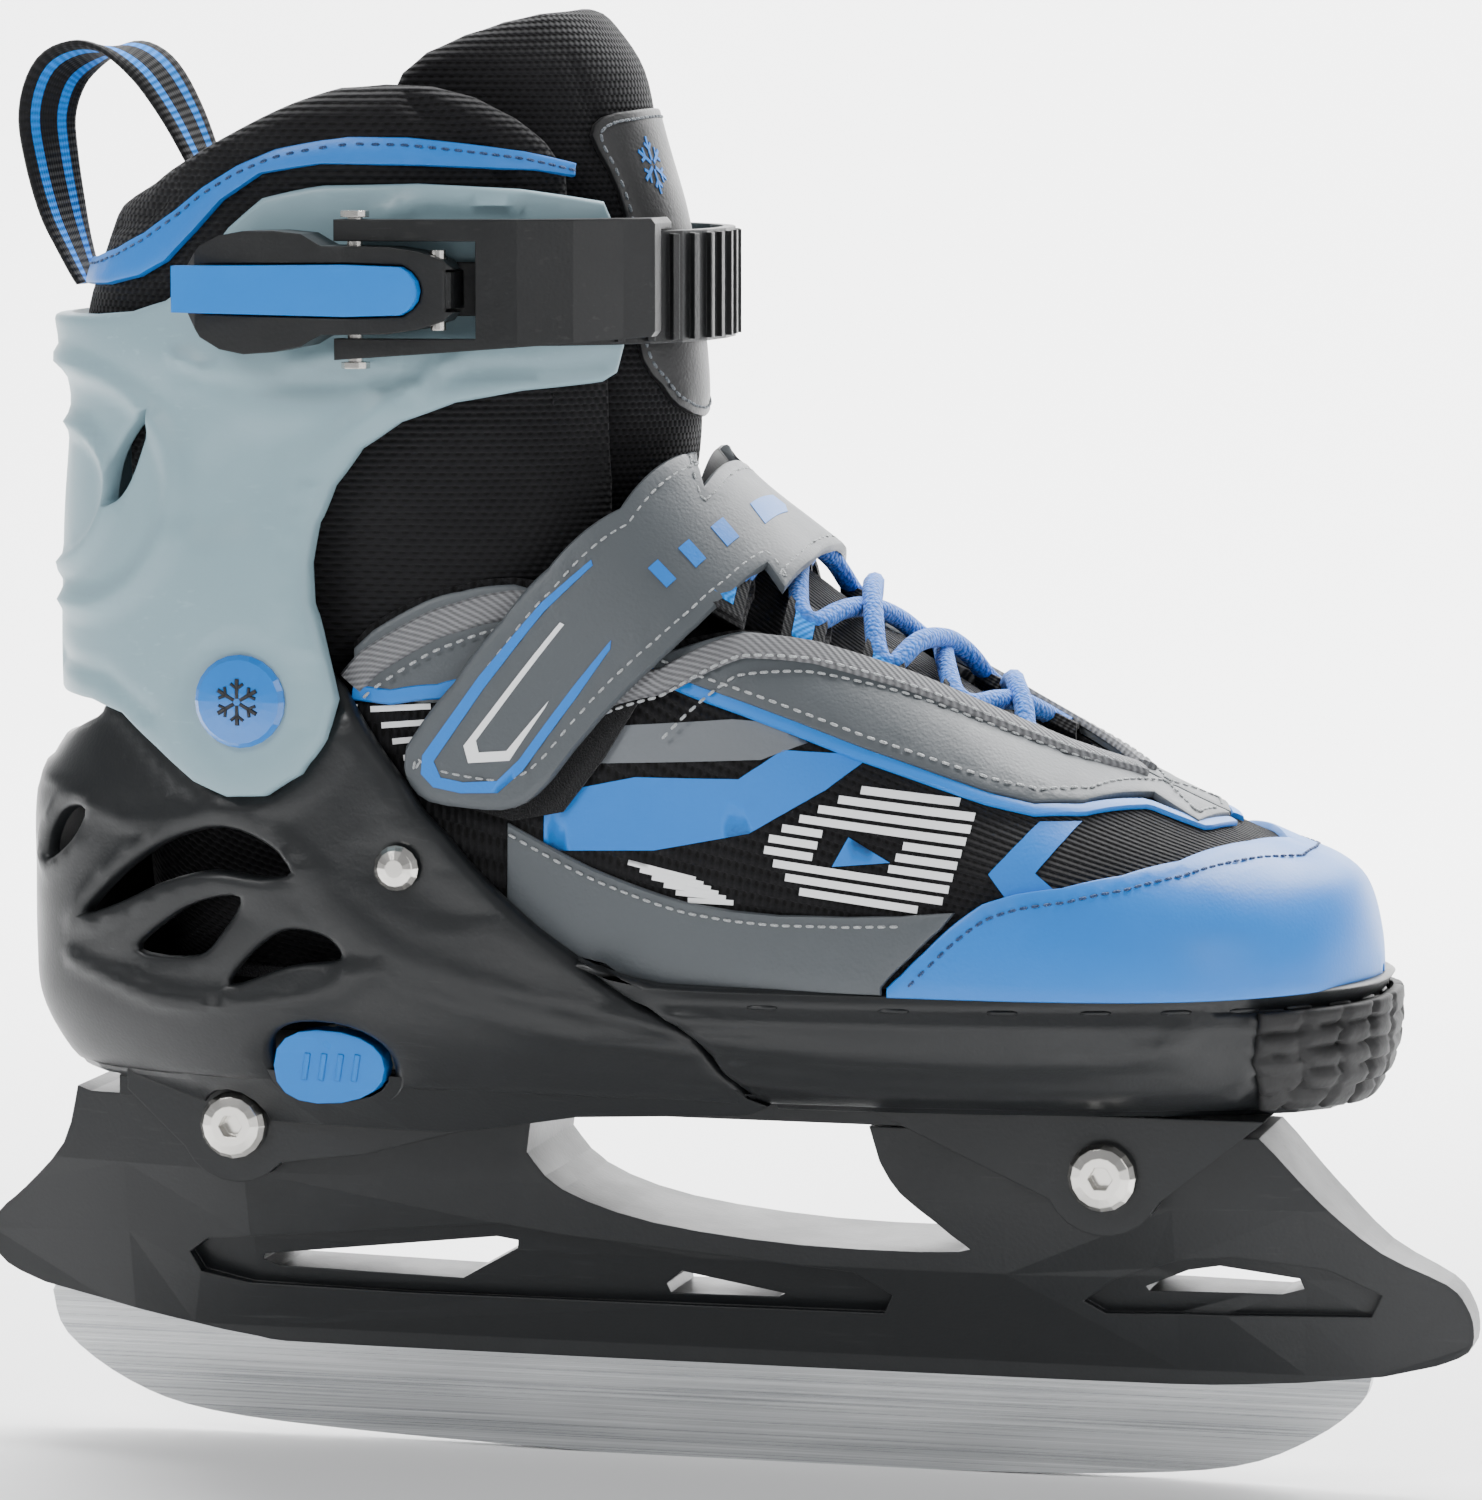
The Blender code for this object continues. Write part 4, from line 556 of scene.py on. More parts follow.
def knit_group():
    """Spacer-mesh knit: short raised ribs in offset rows, with small pores between them; the Pore mask marks where
    knitted() paints the pores near black as painted shade.
    """
    group, given, out = new_group("knit", [("Place", "Vector", None), ("Across", "Float", 600.0),
                                           ("Along", "Float", 900.0)], [("Height", "Float"), ("Pore", "Float")])
    split = node(group, "ShaderNodeSeparateXYZ", {0: given["Place"]}).outputs
    row = maths(group, "MULTIPLY", split[1], given["Along"])
    shift = maths(group, "MULTIPLY", maths(group, "MODULO", maths(group, "FLOOR", row), 2.0), 0.5)
    column = maths(group, "ADD", maths(group, "MULTIPLY", split[0], given["Across"]), shift)
    wave_row = maths(group, "SINE", maths(group, "MULTIPLY", row, 2 * math.pi))
    wave_column = maths(group, "SINE", maths(group, "MULTIPLY", column, 2 * math.pi))
    body = maths(group, "ADD", maths(group, "MULTIPLY", wave_row, 0.3), maths(group, "MULTIPLY", wave_column, 0.2))
    group.links.new(maths(group, "ADD", body, 0.5), out["Height"])
    painted_pore_shade = maths(group, "LESS_THAN", body, -0.27)
    group.links.new(painted_pore_shade, out["Pore"])
    return group


def twill_group():
    """Woven tape: slanting ribs crossed by a fine weft."""
    group, given, out = new_group("twill", [("Place", "Vector", None), ("Count", "Float", 700.0),
                                            ("Slant", "Float", 0.6)], [("Height", "Float")])
    split = node(group, "ShaderNodeSeparateXYZ", {0: given["Place"]}).outputs
    along = maths(group, "ADD", maths(group, "MULTIPLY", split[1], given["Slant"]), split[0])
    rib = maths(group, "SINE", maths(group, "MULTIPLY", maths(group, "MULTIPLY", along, given["Count"]), 2 * math.pi))
    weft = maths(group, "SINE", maths(group, "MULTIPLY", split[1], 2 * math.pi * 1900))
    total = maths(group, "ADD", maths(group, "MULTIPLY", rib, 0.4), maths(group, "MULTIPLY", weft, 0.1))
    group.links.new(maths(group, "ADD", total, 0.5), out["Height"])
    return group


def grain_group():
    """Fine pebbled grain with larger soft unevenness."""
    group, given, out = new_group("grain", [("Place", "Vector", None), ("Size", "Float", 900.0)],
                                  [("Height", "Float"), ("Cloud", "Float")])
    pebble = node(group, "ShaderNodeTexVoronoi", {"Vector": given["Place"], "Scale": given["Size"]},
                  feature="SMOOTH_F1")
    fine = node(group, "ShaderNodeTexNoise", {"Vector": given["Place"], "Scale": given["Size"], "Detail": 3.0})
    mix = maths(group, "ADD", maths(group, "MULTIPLY", pebble.outputs["Distance"], 0.6),
                maths(group, "MULTIPLY", fine.outputs[0], 0.6))
    group.links.new(mix, out["Height"])
    cloud = node(group, "ShaderNodeTexNoise", {"Vector": given["Place"], "Scale": 38.0, "Detail": 4.0,
                                               "Roughness": 0.6})
    group.links.new(cloud.outputs[0], out["Cloud"])
    return group


def scuff_group():
    """Thin handling scratches that run mostly one way."""
    group, given, out = new_group("scuffs", [("Place", "Vector", None), ("Amount", "Float", 0.3)],
                                  [("Mask", "Float")])
    stretch = node(group, "ShaderNodeMapping", {"Vector": given["Place"], "Rotation": (0.3, 0.5, 0.2),
                                                "Scale": (60.0, 900.0, 900.0)})
    line = node(group, "ShaderNodeTexNoise", {"Vector": stretch.outputs[0], "Scale": 1.0, "Detail": 2.0})
    where = node(group, "ShaderNodeTexNoise", {"Vector": given["Place"], "Scale": 30.0, "Detail": 3.0})
    sharp = node(group, "ShaderNodeMapRange", {0: line.outputs[0], 1: 0.62, 2: 0.72, 3: 0.0, 4: 1.0}).outputs[0]
    patchy = node(group, "ShaderNodeMapRange", {0: where.outputs[0], 1: 0.5, 2: 0.65, 3: 0.0, 4: 1.0}).outputs[0]
    both = maths(group, "MULTIPLY", sharp, patchy)
    group.links.new(maths(group, "MULTIPLY", both, given["Amount"]), out["Mask"])
    return group


GROUPS = {"knit": knit_group(), "twill": twill_group(), "grain": grain_group(), "scuffs": scuff_group()}


def place_group(tree, name, values):
    made = tree.nodes.new("ShaderNodeGroup")
    made.node_tree = GROUPS[name]
    for key, value in values.items():
        if isinstance(value, bpy.types.NodeSocket):
            tree.links.new(value, made.inputs[key])
        else:
            made.inputs[key].default_value = value
    return made.outputs


def new_material(name, roughness=0.5, **constants):
    material = bpy.data.materials.new(name)
    material.use_nodes = True
    tree = material.node_tree
    shader = tree.nodes["Principled BSDF"]
    shader.inputs["Roughness"].default_value = roughness
    for key, value in constants.items():
        shader.inputs[key.replace("_", " ")].default_value = value
    return material, tree, shader


def object_place(tree):
    return node(tree, "ShaderNodeTexCoord").outputs["Object"]


def lay_place(tree):
    return node(tree, "ShaderNodeAttribute", attribute_name="lay").outputs["Vector"]


def mix_colour(tree, mask, a, b):
    made = node(tree, "ShaderNodeMix", data_type="RGBA")
    for socket, value in ((made.inputs[0], mask), (made.inputs[6], a), (made.inputs[7], b)):
        if isinstance(value, bpy.types.NodeSocket):
            tree.links.new(value, socket)
        elif isinstance(value, float):
            socket.default_value = value
        else:
            socket.default_value = (*value, 1.0)
    return made.outputs[2]


def span(tree, value, low, high, to_low, to_high):
    return node(tree, "ShaderNodeMapRange", {0: value, 1: low, 2: high, 3: to_low, 4: to_high}).outputs[0]


def shades(colour, spread):
    return tuple(c * (1 - spread) for c in colour), tuple(min(1.0, c * (1 + spread)) for c in colour)


def moulded(name, colour, roughness, grain=0.10, size=1500.0, spread=0.08, scuff=0.35, round_edge=0.45):
    """Moulded plastic: fine grain, uneven sheen, faint scuffs and edges that catch the light."""
    material, tree, shader = new_material(name, roughness, Specular_IOR_Level=0.38)
    place = object_place(tree)
    grained = place_group(tree, "grain", {"Place": place, "Size": size})
    marks = place_group(tree, "scuffs", {"Place": place, "Amount": scuff})
    dark, light = shades(colour, spread)
    base = mix_colour(tree, grained["Cloud"], dark, light)
    pale = tuple(min(1.0, c * 1.6 + 0.03) for c in colour)
    tree.links.new(mix_colour(tree, marks["Mask"], base, pale), shader.inputs["Base Color"])
    rough = maths(tree, "ADD", span(tree, grained["Cloud"], 0.3, 0.7, roughness - 0.06, roughness + 0.07),
                  maths(tree, "MULTIPLY", marks["Mask"], 0.25))
    tree.links.new(rough, shader.inputs["Roughness"])
    edge = node(tree, "ShaderNodeBevel", {"Radius": round_edge * MM}, samples=4)
    bump = node(tree, "ShaderNodeBump", {"Height": grained["Height"], "Strength": grain, "Distance": 0.0004,
                                         "Normal": edge.outputs[0]})
    tree.links.new(bump.outputs[0], shader.inputs["Normal"])
    return material


def steel_blade(name):
    """Ground steel: hairlines along the blade, brighter and duller bands."""
    material, tree, shader = new_material(name, 0.28, Metallic=1.0)
    place = object_place(tree)
    hair = node(tree, "ShaderNodeMapping", {"Vector": place, "Scale": (9.0, 300.0, 2600.0)})
    lines = node(tree, "ShaderNodeTexNoise", {"Vector": hair.outputs[0], "Scale": 1.0, "Detail": 5.0,
                                              "Roughness": 0.65}).outputs[0]
    wide = node(tree, "ShaderNodeMapping", {"Vector": place, "Scale": (12.0, 30.0, 60.0)})
    bands = node(tree, "ShaderNodeTexNoise", {"Vector": wide.outputs[0], "Scale": 1.0, "Detail": 2.0}).outputs[0]
    total = maths(tree, "ADD", maths(tree, "MULTIPLY", lines, 0.6), maths(tree, "MULTIPLY", bands, 0.4))
    ramp = node(tree, "ShaderNodeValToRGB", {0: total})
    ramp.color_ramp.elements[0].position = 0.35
    ramp.color_ramp.elements[0].color = (0.24, 0.25, 0.26, 1)
    ramp.color_ramp.elements[1].position = 0.62
    ramp.color_ramp.elements[1].color = (0.66, 0.67, 0.68, 1)
    tree.links.new(ramp.outputs[0], shader.inputs["Base Color"])
    tree.links.new(span(tree, lines, 0.3, 0.7, 0.2, 0.42), shader.inputs["Roughness"])
    bump = node(tree, "ShaderNodeBump", {"Height": lines, "Strength": 0.25, "Distance": 0.0002})
    tree.links.new(bump.outputs[0], shader.inputs["Normal"])
    return material


def plated(name, colour, roughness):
    """Nickel plating with faint turning marks."""
    material, tree, shader = new_material(name, roughness, Metallic=1.0)
    place = object_place(tree)
    grained = place_group(tree, "grain", {"Place": place, "Size": 1200.0})
    dark, light = shades(colour, 0.1)
    tree.links.new(mix_colour(tree, grained["Cloud"], dark, light), shader.inputs["Base Color"])
    tree.links.new(span(tree, grained["Cloud"], 0.3, 0.7, roughness * 0.7, roughness * 1.5),
                   shader.inputs["Roughness"])
    edge = node(tree, "ShaderNodeBevel", {"Radius": 0.3 * MM}, samples=4)
    bump = node(tree, "ShaderNodeBump", {"Height": grained["Height"], "Strength": 0.04, "Distance": 0.0002,
                                         "Normal": edge.outputs[0]})
    tree.links.new(bump.outputs[0], shader.inputs["Normal"])
    return material


def synthetic(name, colour, roughness=0.5, grain=0.28, coat=0.0):
    """Coated synthetic leather: pebbled, with a soft uneven sheen."""
    material, tree, shader = new_material(name, roughness, Sheen_Weight=0.02)
    place = object_place(tree)
    grained = place_group(tree, "grain", {"Place": place, "Size": 1500.0})
    dark, light = shades(colour, 0.07)
    tree.links.new(mix_colour(tree, grained["Cloud"], dark, light), shader.inputs["Base Color"])
    tree.links.new(span(tree, grained["Cloud"], 0.3, 0.7, roughness - 0.07, roughness + 0.08),
                   shader.inputs["Roughness"])
    bump = node(tree, "ShaderNodeBump", {"Height": grained["Height"], "Strength": grain, "Distance": 0.0003})
    tree.links.new(bump.outputs[0], shader.inputs["Normal"])
    if coat:
        shader.inputs["Coat Weight"].default_value = coat
    return material


def knitted(name, colour, painted_pore_shade, across=520.0, along=800.0, strength=0.9, depth=0.0006):
    """Padded spacer mesh in dark yarn, with painted shade: darker in the grooves between the ribs and near black in the
    pores.
    """
    material, tree, shader = new_material(name, 0.85, Sheen_Weight=0.04, Sheen_Roughness=0.45,
                                          Specular_IOR_Level=0.22)
    knit = place_group(tree, "knit", {"Place": lay_place(tree), "Across": across, "Along": along})
    cloud = place_group(tree, "grain", {"Place": object_place(tree), "Size": 2200.0})
    dark, light = shades(colour, 0.35)
    # Painted shade: the colour follows the knit's height, with the rib tops lighter and the grooves darker.
    yarn = mix_colour(tree, knit["Height"], dark, light)
    # Painted shade: the pores are painted near black.
    tree.links.new(mix_colour(tree, knit["Pore"], yarn, painted_pore_shade), shader.inputs["Base Color"])
    tree.links.new(span(tree, cloud["Cloud"], 0.3, 0.7, 0.75, 0.95), shader.inputs["Roughness"])
    height = maths(tree, "ADD", knit["Height"], maths(tree, "MULTIPLY", cloud["Height"], 0.15))
    bump = node(tree, "ShaderNodeBump", {"Height": height, "Strength": strength, "Distance": depth})
    tree.links.new(bump.outputs[0], shader.inputs["Normal"])
    return material


def woven(name, colour, stripe=None, edges=(0.0018, 0.0037), count=900.0, slant=0.6):
    """Ribbed tape, with a coloured stripe on each side of its middle where asked; the rib tops are lighter and the
    troughs darker as painted shade.
    """
    material, tree, shader = new_material(name, 0.8, Sheen_Weight=0.06, Specular_IOR_Level=0.3)
    place = lay_place(tree)
    rib = place_group(tree, "twill", {"Place": place, "Count": count, "Slant": slant})["Height"]
    dark, light = shades(colour, 0.4)
    # Painted shade: the colour follows the rib height, darker in the troughs.
    base = mix_colour(tree, rib, dark, light)
    if stripe:
        away = maths(tree, "ABSOLUTE", node(tree, "ShaderNodeSeparateXYZ", {0: place}).outputs[1])
        on_stripe = maths(tree, "MULTIPLY", maths(tree, "GREATER_THAN", away, edges[0]),
                          maths(tree, "LESS_THAN", away, edges[1]))
        low, high = shades(stripe, 0.25)
        # The stripe gets the same painted shade in the troughs of the ribs.
        base = mix_colour(tree, on_stripe, base, mix_colour(tree, rib, low, high))
    tree.links.new(base, shader.inputs["Base Color"])
    bump = node(tree, "ShaderNodeBump", {"Height": rib, "Strength": 0.8, "Distance": 0.0004})
    tree.links.new(bump.outputs[0], shader.inputs["Normal"])
    return material


def braided(name, colour, scale=1150.0):
    """Round braided lace: a fine chevron of yarns, painted darker in the grooves between them as painted shade."""
    material, tree, shader = new_material(name, 0.7, Sheen_Weight=0.2)
    place = object_place(tree)
    braid_depth_and_shade = node(tree, "ShaderNodeTexVoronoi", {"Vector": place, "Scale": scale}).outputs["Distance"]
    dark, light = shades(colour, 0.35)
    # Painted shade: the yarn centres are light and the low grooves between them are dark.
    tree.links.new(mix_colour(tree, braid_depth_and_shade, light, dark), shader.inputs["Base Color"])
    bump = node(tree, "ShaderNodeBump", {"Height": braid_depth_and_shade, "Strength": 0.9, "Distance": 0.0005}, invert=True)
    tree.links.new(bump.outputs[0], shader.inputs["Normal"])
    return material


def fleece(name, colour):
    """Hook-and-loop pile, with tone that varies at random and painted shade where the pile is low."""
    material, tree, shader = new_material(name, 0.95, Sheen_Weight=0.12, Specular_IOR_Level=0.2)
    place = object_place(tree)
    pile = node(tree, "ShaderNodeTexNoise", {"Vector": place, "Scale": 2600.0, "Detail": 4.0}).outputs[0]
    dark, light = shades(colour, 0.6)
    # Random tone plus painted shade: the colour follows the pile height, darker where the pile is low.
    tree.links.new(mix_colour(tree, pile, dark, light), shader.inputs["Base Color"])
    bump = node(tree, "ShaderNodeBump", {"Height": pile, "Strength": 1.0, "Distance": 0.0008})
    tree.links.new(bump.outputs[0], shader.inputs["Normal"])
    return material


BLUE = (0.0, 0.165, 0.58)
PRINT_BLUE = (0.0, 0.16, 0.57)
FINISH = {
    "shell": moulded("shell_black", (0.0085, 0.0095, 0.0105), 0.36),
    "holder": moulded("holder_black", (0.0075, 0.0085, 0.0095), 0.40),
    "buckle": moulded("buckle_black", (0.007, 0.0075, 0.008), 0.42, 0.14),
    "cuff": moulded("cuff_grey", (0.22, 0.33, 0.375), 0.40, 0.05, spread=0.04, scuff=0.2),
    "blue": moulded("bright_blue", (0.0, 0.17, 0.58), 0.33, 0.04, scuff=0.2),
    "cap": synthetic("cap_blue", (0.0, 0.165, 0.57), 0.2, 0.02, 0.8),
    "rubber": moulded("tread_rubber", (0.009, 0.009, 0.0095), 0.62, 0.2, 1100.0),
    "blade": steel_blade("ground_steel"),
    "nickel": plated("nickel", (0.72, 0.70, 0.66), 0.2),
    "knit": knitted("black_knit", (0.0065, 0.0065, 0.0075), (0.001, 0.001, 0.001)),
    "vamp": knitted("vamp_mesh", (0.006, 0.006, 0.0068), (0.0008, 0.0008, 0.0008), 640.0, 640.0, 1.0, 0.0008),
    "blue_pu": synthetic("blue_synthetic", BLUE, 0.42, 0.12),
    "grey_pu": synthetic("grey_synthetic", (0.062, 0.071, 0.079), 0.5, 0.3),
    "print_blue": synthetic("printed_blue", PRINT_BLUE, 0.5, 0.2),
    "print_grey": synthetic("printed_grey", (0.12, 0.132, 0.145), 0.6, 0.3),
    "print_white": synthetic("printed_white", (0.82, 0.83, 0.84), 0.5, 0.2),
    "binding": woven("grey_binding", (0.17, 0.172, 0.18), count=620.0, slant=1.1),
    "webbing": woven("black_webbing", (0.008, 0.008, 0.009), count=900.0),
    "striped": woven("striped_webbing", (0.007, 0.007, 0.008), (0.0, 0.22, 0.78), count=700.0, slant=0.0),
    "tab": woven("blue_tab", (0.0, 0.22, 0.76), count=900.0, slant=1.0),
    "lace": braided("blue_lace", (0.0, 0.14, 0.58)),
    "fleece": fleece("loop_pile", (0.012, 0.012, 0.013)),
    "footbed": fleece("footbed_cloth", (0.03, 0.03, 0.033)),
    "thread_blue": braided("blue_thread", (0.004, 0.045, 0.16), 3000.0),
    "thread_grey": braided("grey_thread", (0.13, 0.15, 0.17), 3000.0),
    "thread_dark": braided("dark_thread", (0.02, 0.05, 0.10), 3000.0),
    "thread_white": braided("pale_thread", (0.45, 0.47, 0.48), 3000.0),
    "black_pu": synthetic("black_synthetic", (0.009, 0.009, 0.0095), 0.42, 0.3),
    "ink": synthetic("black_ink", (0.012, 0.012, 0.014), 0.4, 0.05),
}
KEPT = {
    "blade": "blade", "blade_holder": "holder", "base_plate": "holder", "front_bolt": "nickel",
    "front_sleeve_nut": "nickel", "rear_bolt": "nickel", "rear_sleeve_nut": "nickel", "heel_shell": "shell",
    "wing_rivet_lateral": "nickel", "wing_rivet_medial": "nickel", "pivot_rivet_lateral": "nickel",
    "pivot_rivet_medial": "nickel", "liner_foot": "fleece", "insole": "footbed", "size_button": "blue",
    "button_spring": "nickel", "cuff": "cuff", "pivot_cap_lateral": "cap", "pivot_cap_medial": "cap",
    "liner_collar": "fleece", "collar_trim": "blue_pu", "pull_loop": "webbing", "tongue": "fleece",
    "tongue_shield": "black_pu", "buckle_base": "buckle", "base_rivet_rear": "nickel",
    "base_rivet_front": "nickel", "lever_pin": "nickel", "ladder_rivet": "nickel", "buckle_lever": "buckle",
    "lever_insert": "blue", "arm_pin": "nickel", "buckle_arm": "buckle", "ladder_strap": "buckle",
    "toe_sole": "shell", "toe_bumper": "rubber", "upper": "fleece", "toe_cap": "blue_pu",
    "rand_lateral": "grey_pu", "rand_medial": "grey_pu", "eyestay_lateral": "grey_pu",
    "eyestay_medial": "grey_pu", "loop_field": "fleece", "laces": "lace", "instep_strap": "grey_pu",
    "strap_hook_pad": "fleece", "strap_root": "grey_pu",
}


def repaint_kept_nodes():
    for name, finish in KEPT.items():
        obj = bpy.data.objects[name]
        if not obj.material_slots:
            obj.data.materials.append(None)
        for place in obj.material_slots:
            place.material = FINISH[finish]


# ---------------------------------------------------------------- outlines


def seen(form, points, side):
    return [form.side(x, z, side) for x, z in points]


def round_back(form, points, low=None, high=None):
    """A closed loop from half an outline seen from the side, mirrored round the back or the front."""
    half = seen(form, points, LATERAL)
    return half + [(-u, v) for u, v in half[::-1]]


CUFF_LOW = [(-126, 148), (-116, 147.6), (-108, 145.6), (-100, 139.6), (-92, 133.6), (-85, 131), (-77, 131.4),
            (-70, 135.6), (-65, 142.4), (-62.8, 150), (-65, 159), (-67.6, 168), (-68, 175.5), (-66.6, 183),
            (-63.4, 190), (-58, 197), (-50.4, 202), (-40, 205.8), (-28, 208), (-14.6, 209.4)]
CUFF_TOP = [(-12.4, 211), (-11.2, 217), (-12, 236), (-14.4, 243), (-28, 245.4), (-47, 246.4), (-65, 246),
            (-77, 243.6), (-84, 238), (-92, 227.6), (-97.4, 224.2), (-105, 222), (-116, 221), (-127, 220.6)]
CUFF_WINDOW = smooth([(-101, 203.6), (-106.6, 199), (-110.4, 193), (-111.6, 185), (-106.8, 188.6),
                      (-103.2, 196)], 4, True)
FLAP_RIDGE = [(-95, 211), (-80, 207.6), (-64, 208.4), (-52, 210.4), (-30, 212), (-14, 213)]
CUFF_EDGE = [(-52, 206), (-60, 200.4), (-67, 192.4), (-70.8, 184), (-72, 175), (-71.4, 167), (-69, 159)]
CUFF_CREST = smooth([(-130, 213), (-118, 211), (-106, 207), (-98, 199), (-95, 190), (-97, 180), (-104, 171),
                     (-114, 166), (-124, 166)], 4)
CUFF_ARCH = smooth([(-124, 200), (-116, 198), (-111, 192), (-112, 183), (-118, 176), (-127, 172)], 4)
LOBE_RING = [(-81.6 + 13 * math.cos(math.radians(a)), 149.3 + 13 * math.sin(math.radians(a)))
             for a in range(-200, 41, 20)]
GUSSETS = [[(-52, 241), (-46, 243.5), (-30, 242.5)], [(-48, 208.5), (-44, 211.5), (-40, 214)],
           [(-94, 214), (-88, 211.6)], [(-70, 213), (-62, 215)]]


def on_side(form, points, side):
    return seen(form, points, side)


def both_sides(form, points, half, rise):
    return [(seen(form, points, side), half, rise) for side in (LATERAL, MEDIAL)]


def make_cuff():
    outline = round_back(CUFF, CUFF_TOP[::-1] + CUFF_LOW[::-1])
    holes = [seen(CUFF, CUFF_WINDOW, side) for side in (LATERAL, MEDIAL)]
    lines = []
    lines += both_sides(CUFF, CUFF_CREST, 3.6, 1.9)
    lines += both_sides(CUFF, CUFF_ARCH, 2.8, 1.6)
    lines += both_sides(CUFF, CUFF_EDGE, 2.2, 1.3)
    lines += both_sides(CUFF, FLAP_RIDGE, 1.8, -1.0)
    for gusset in GUSSETS:
        lines += both_sides(CUFF, gusset, 2.0, 1.7)
    lines += both_sides(CUFF, [(-126, 155), (-112, 153), (-101, 146)], 2.4, -1.0)

    def body(u, v, spot):
        x, z = spot.x, spot.z
        rise = 1.0 * math.exp(-((z - 172) / 22) ** 2 - ((x + 84) / 16) ** 2)
        away = math.dist((x, z), PIVOT)
        rise -= 0.8 * ease((13 - away) / 1.6)
        rise += 1.2 * ease(1 - abs(z - 213.5) / 9) * ease((-70 - x) / 20)
        rise -= 1.3 * dish(x, z, [(-100, 182), (-90, 176), (-76, 180), (-72, 192), (-62, 203), (-84, 204),
                                  (-93, 196)], 7.0, 1.0)
        return rise
    patch("cuff_shell", CUFF, outline, "cuff", FINISH["cuff"], lift=-3.2, thick=3.2, pitch=1.7,
          edge=0.9, holes=holes, sculpt=body, lines=lines, replaced=["cuff"], sharp=60)


WING_EDGE = [(-63, 152), (-58.4, 145), (-50, 134.4), (-42, 125), (-34, 116.4), (-25, 108.6), (-17, 103), (-8, 96.4),
             (0, 92), (6, 88), (10, 81), (14, 76), (14, 74.4)]
SHELL_TOP = [(-134.4, 131), (-126, 139.4), (-118, 143.6), (-108, 151), (-98, 157), (-84, 160.4), (-70, 158)]
VENT_ARCH = smooth([(-119, 106), (-113.6, 111.6), (-107, 116.8), (-98, 122), (-87, 124.6), (-78, 122),
                    (-72.5, 117), (-79, 115.4), (-90, 116.2), (-100, 113.6), (-110, 109)], 3, True)
VENT_BACK = smooth([(-107, 99.6), (-101, 105.4), (-93, 110), (-84, 111.4), (-88, 104.6), (-94, 99.4)], 4, True)
VENT_FRONT = smooth([(-87, 94), (-81, 101.6), (-74, 105.6), (-66, 104.6), (-63.4, 100.4), (-74, 98.4)], 4, True)
VENT_HEEL = smooth([(-129, 115.4), (-128.6, 120), (-124, 125.6), (-118.4, 126), (-122, 120)], 4, True)
RIDGE_WING = smooth([(-73, 119), (-67, 113), (-58, 105), (-46, 100), (-31, 96), (-16, 93), (2, 90)], 4)
RIDGE_LOW = smooth([(-58, 99.4), (-46, 94.6), (-31, 90.6), (-16, 87.4), (1, 85.6)], 4)
SCOOP = smooth([(-122, 97), (-112, 94), (-101, 90.6), (-88, 90.4), (-76, 92), (-66, 94.4), (-58, 99.4)], 4)
CUFF_RECESS = smooth([(-116, 146.4), (-109, 143.6), (-100, 136.6), (-92, 131), (-84, 128.4), (-75, 129.8),
                      (-67, 136), (-62, 146)], 4)
HEEL_EDGE = smooth([(-134, 133), (-126, 131), (-117, 128), (-108, 124.6), (-98, 126.4), (-88, 128)], 4)
RIVET_FACET = [(-60, 121), (-48, 127), (-38, 117.6), (-30, 110), (-43, 107), (-54, 112)]


def bisected_copy(node_name, height, name, body, material):
    """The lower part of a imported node, closed off at a height, under a finer outer wall."""
    source = bpy.data.objects[node_name]
    edit = bmesh.new()
    edit.from_mesh(source.data)
    edit.transform(source.matrix_world)
    found = bmesh.ops.bisect_plane(edit, geom=list(edit.verts) + list(edit.edges) + list(edit.faces),
                                   plane_co=(0, 0, height * MM), plane_no=(0, 0, 1), clear_outer=True)
    rims = [item for item in found["geom_cut"] if isinstance(item, bmesh.types.BMEdge)]
    bmesh.ops.holes_fill(edit, edges=rims)
    mesh = bpy.data.meshes.new(name)
    edit.to_mesh(mesh)
    edit.free()
    mesh.materials.clear()
    mesh.shade_smooth()
    mesh.set_sharp_from_angle(angle=math.radians(38))
    return finish_piece(bpy.data.objects.new(name, mesh), name, body, material)


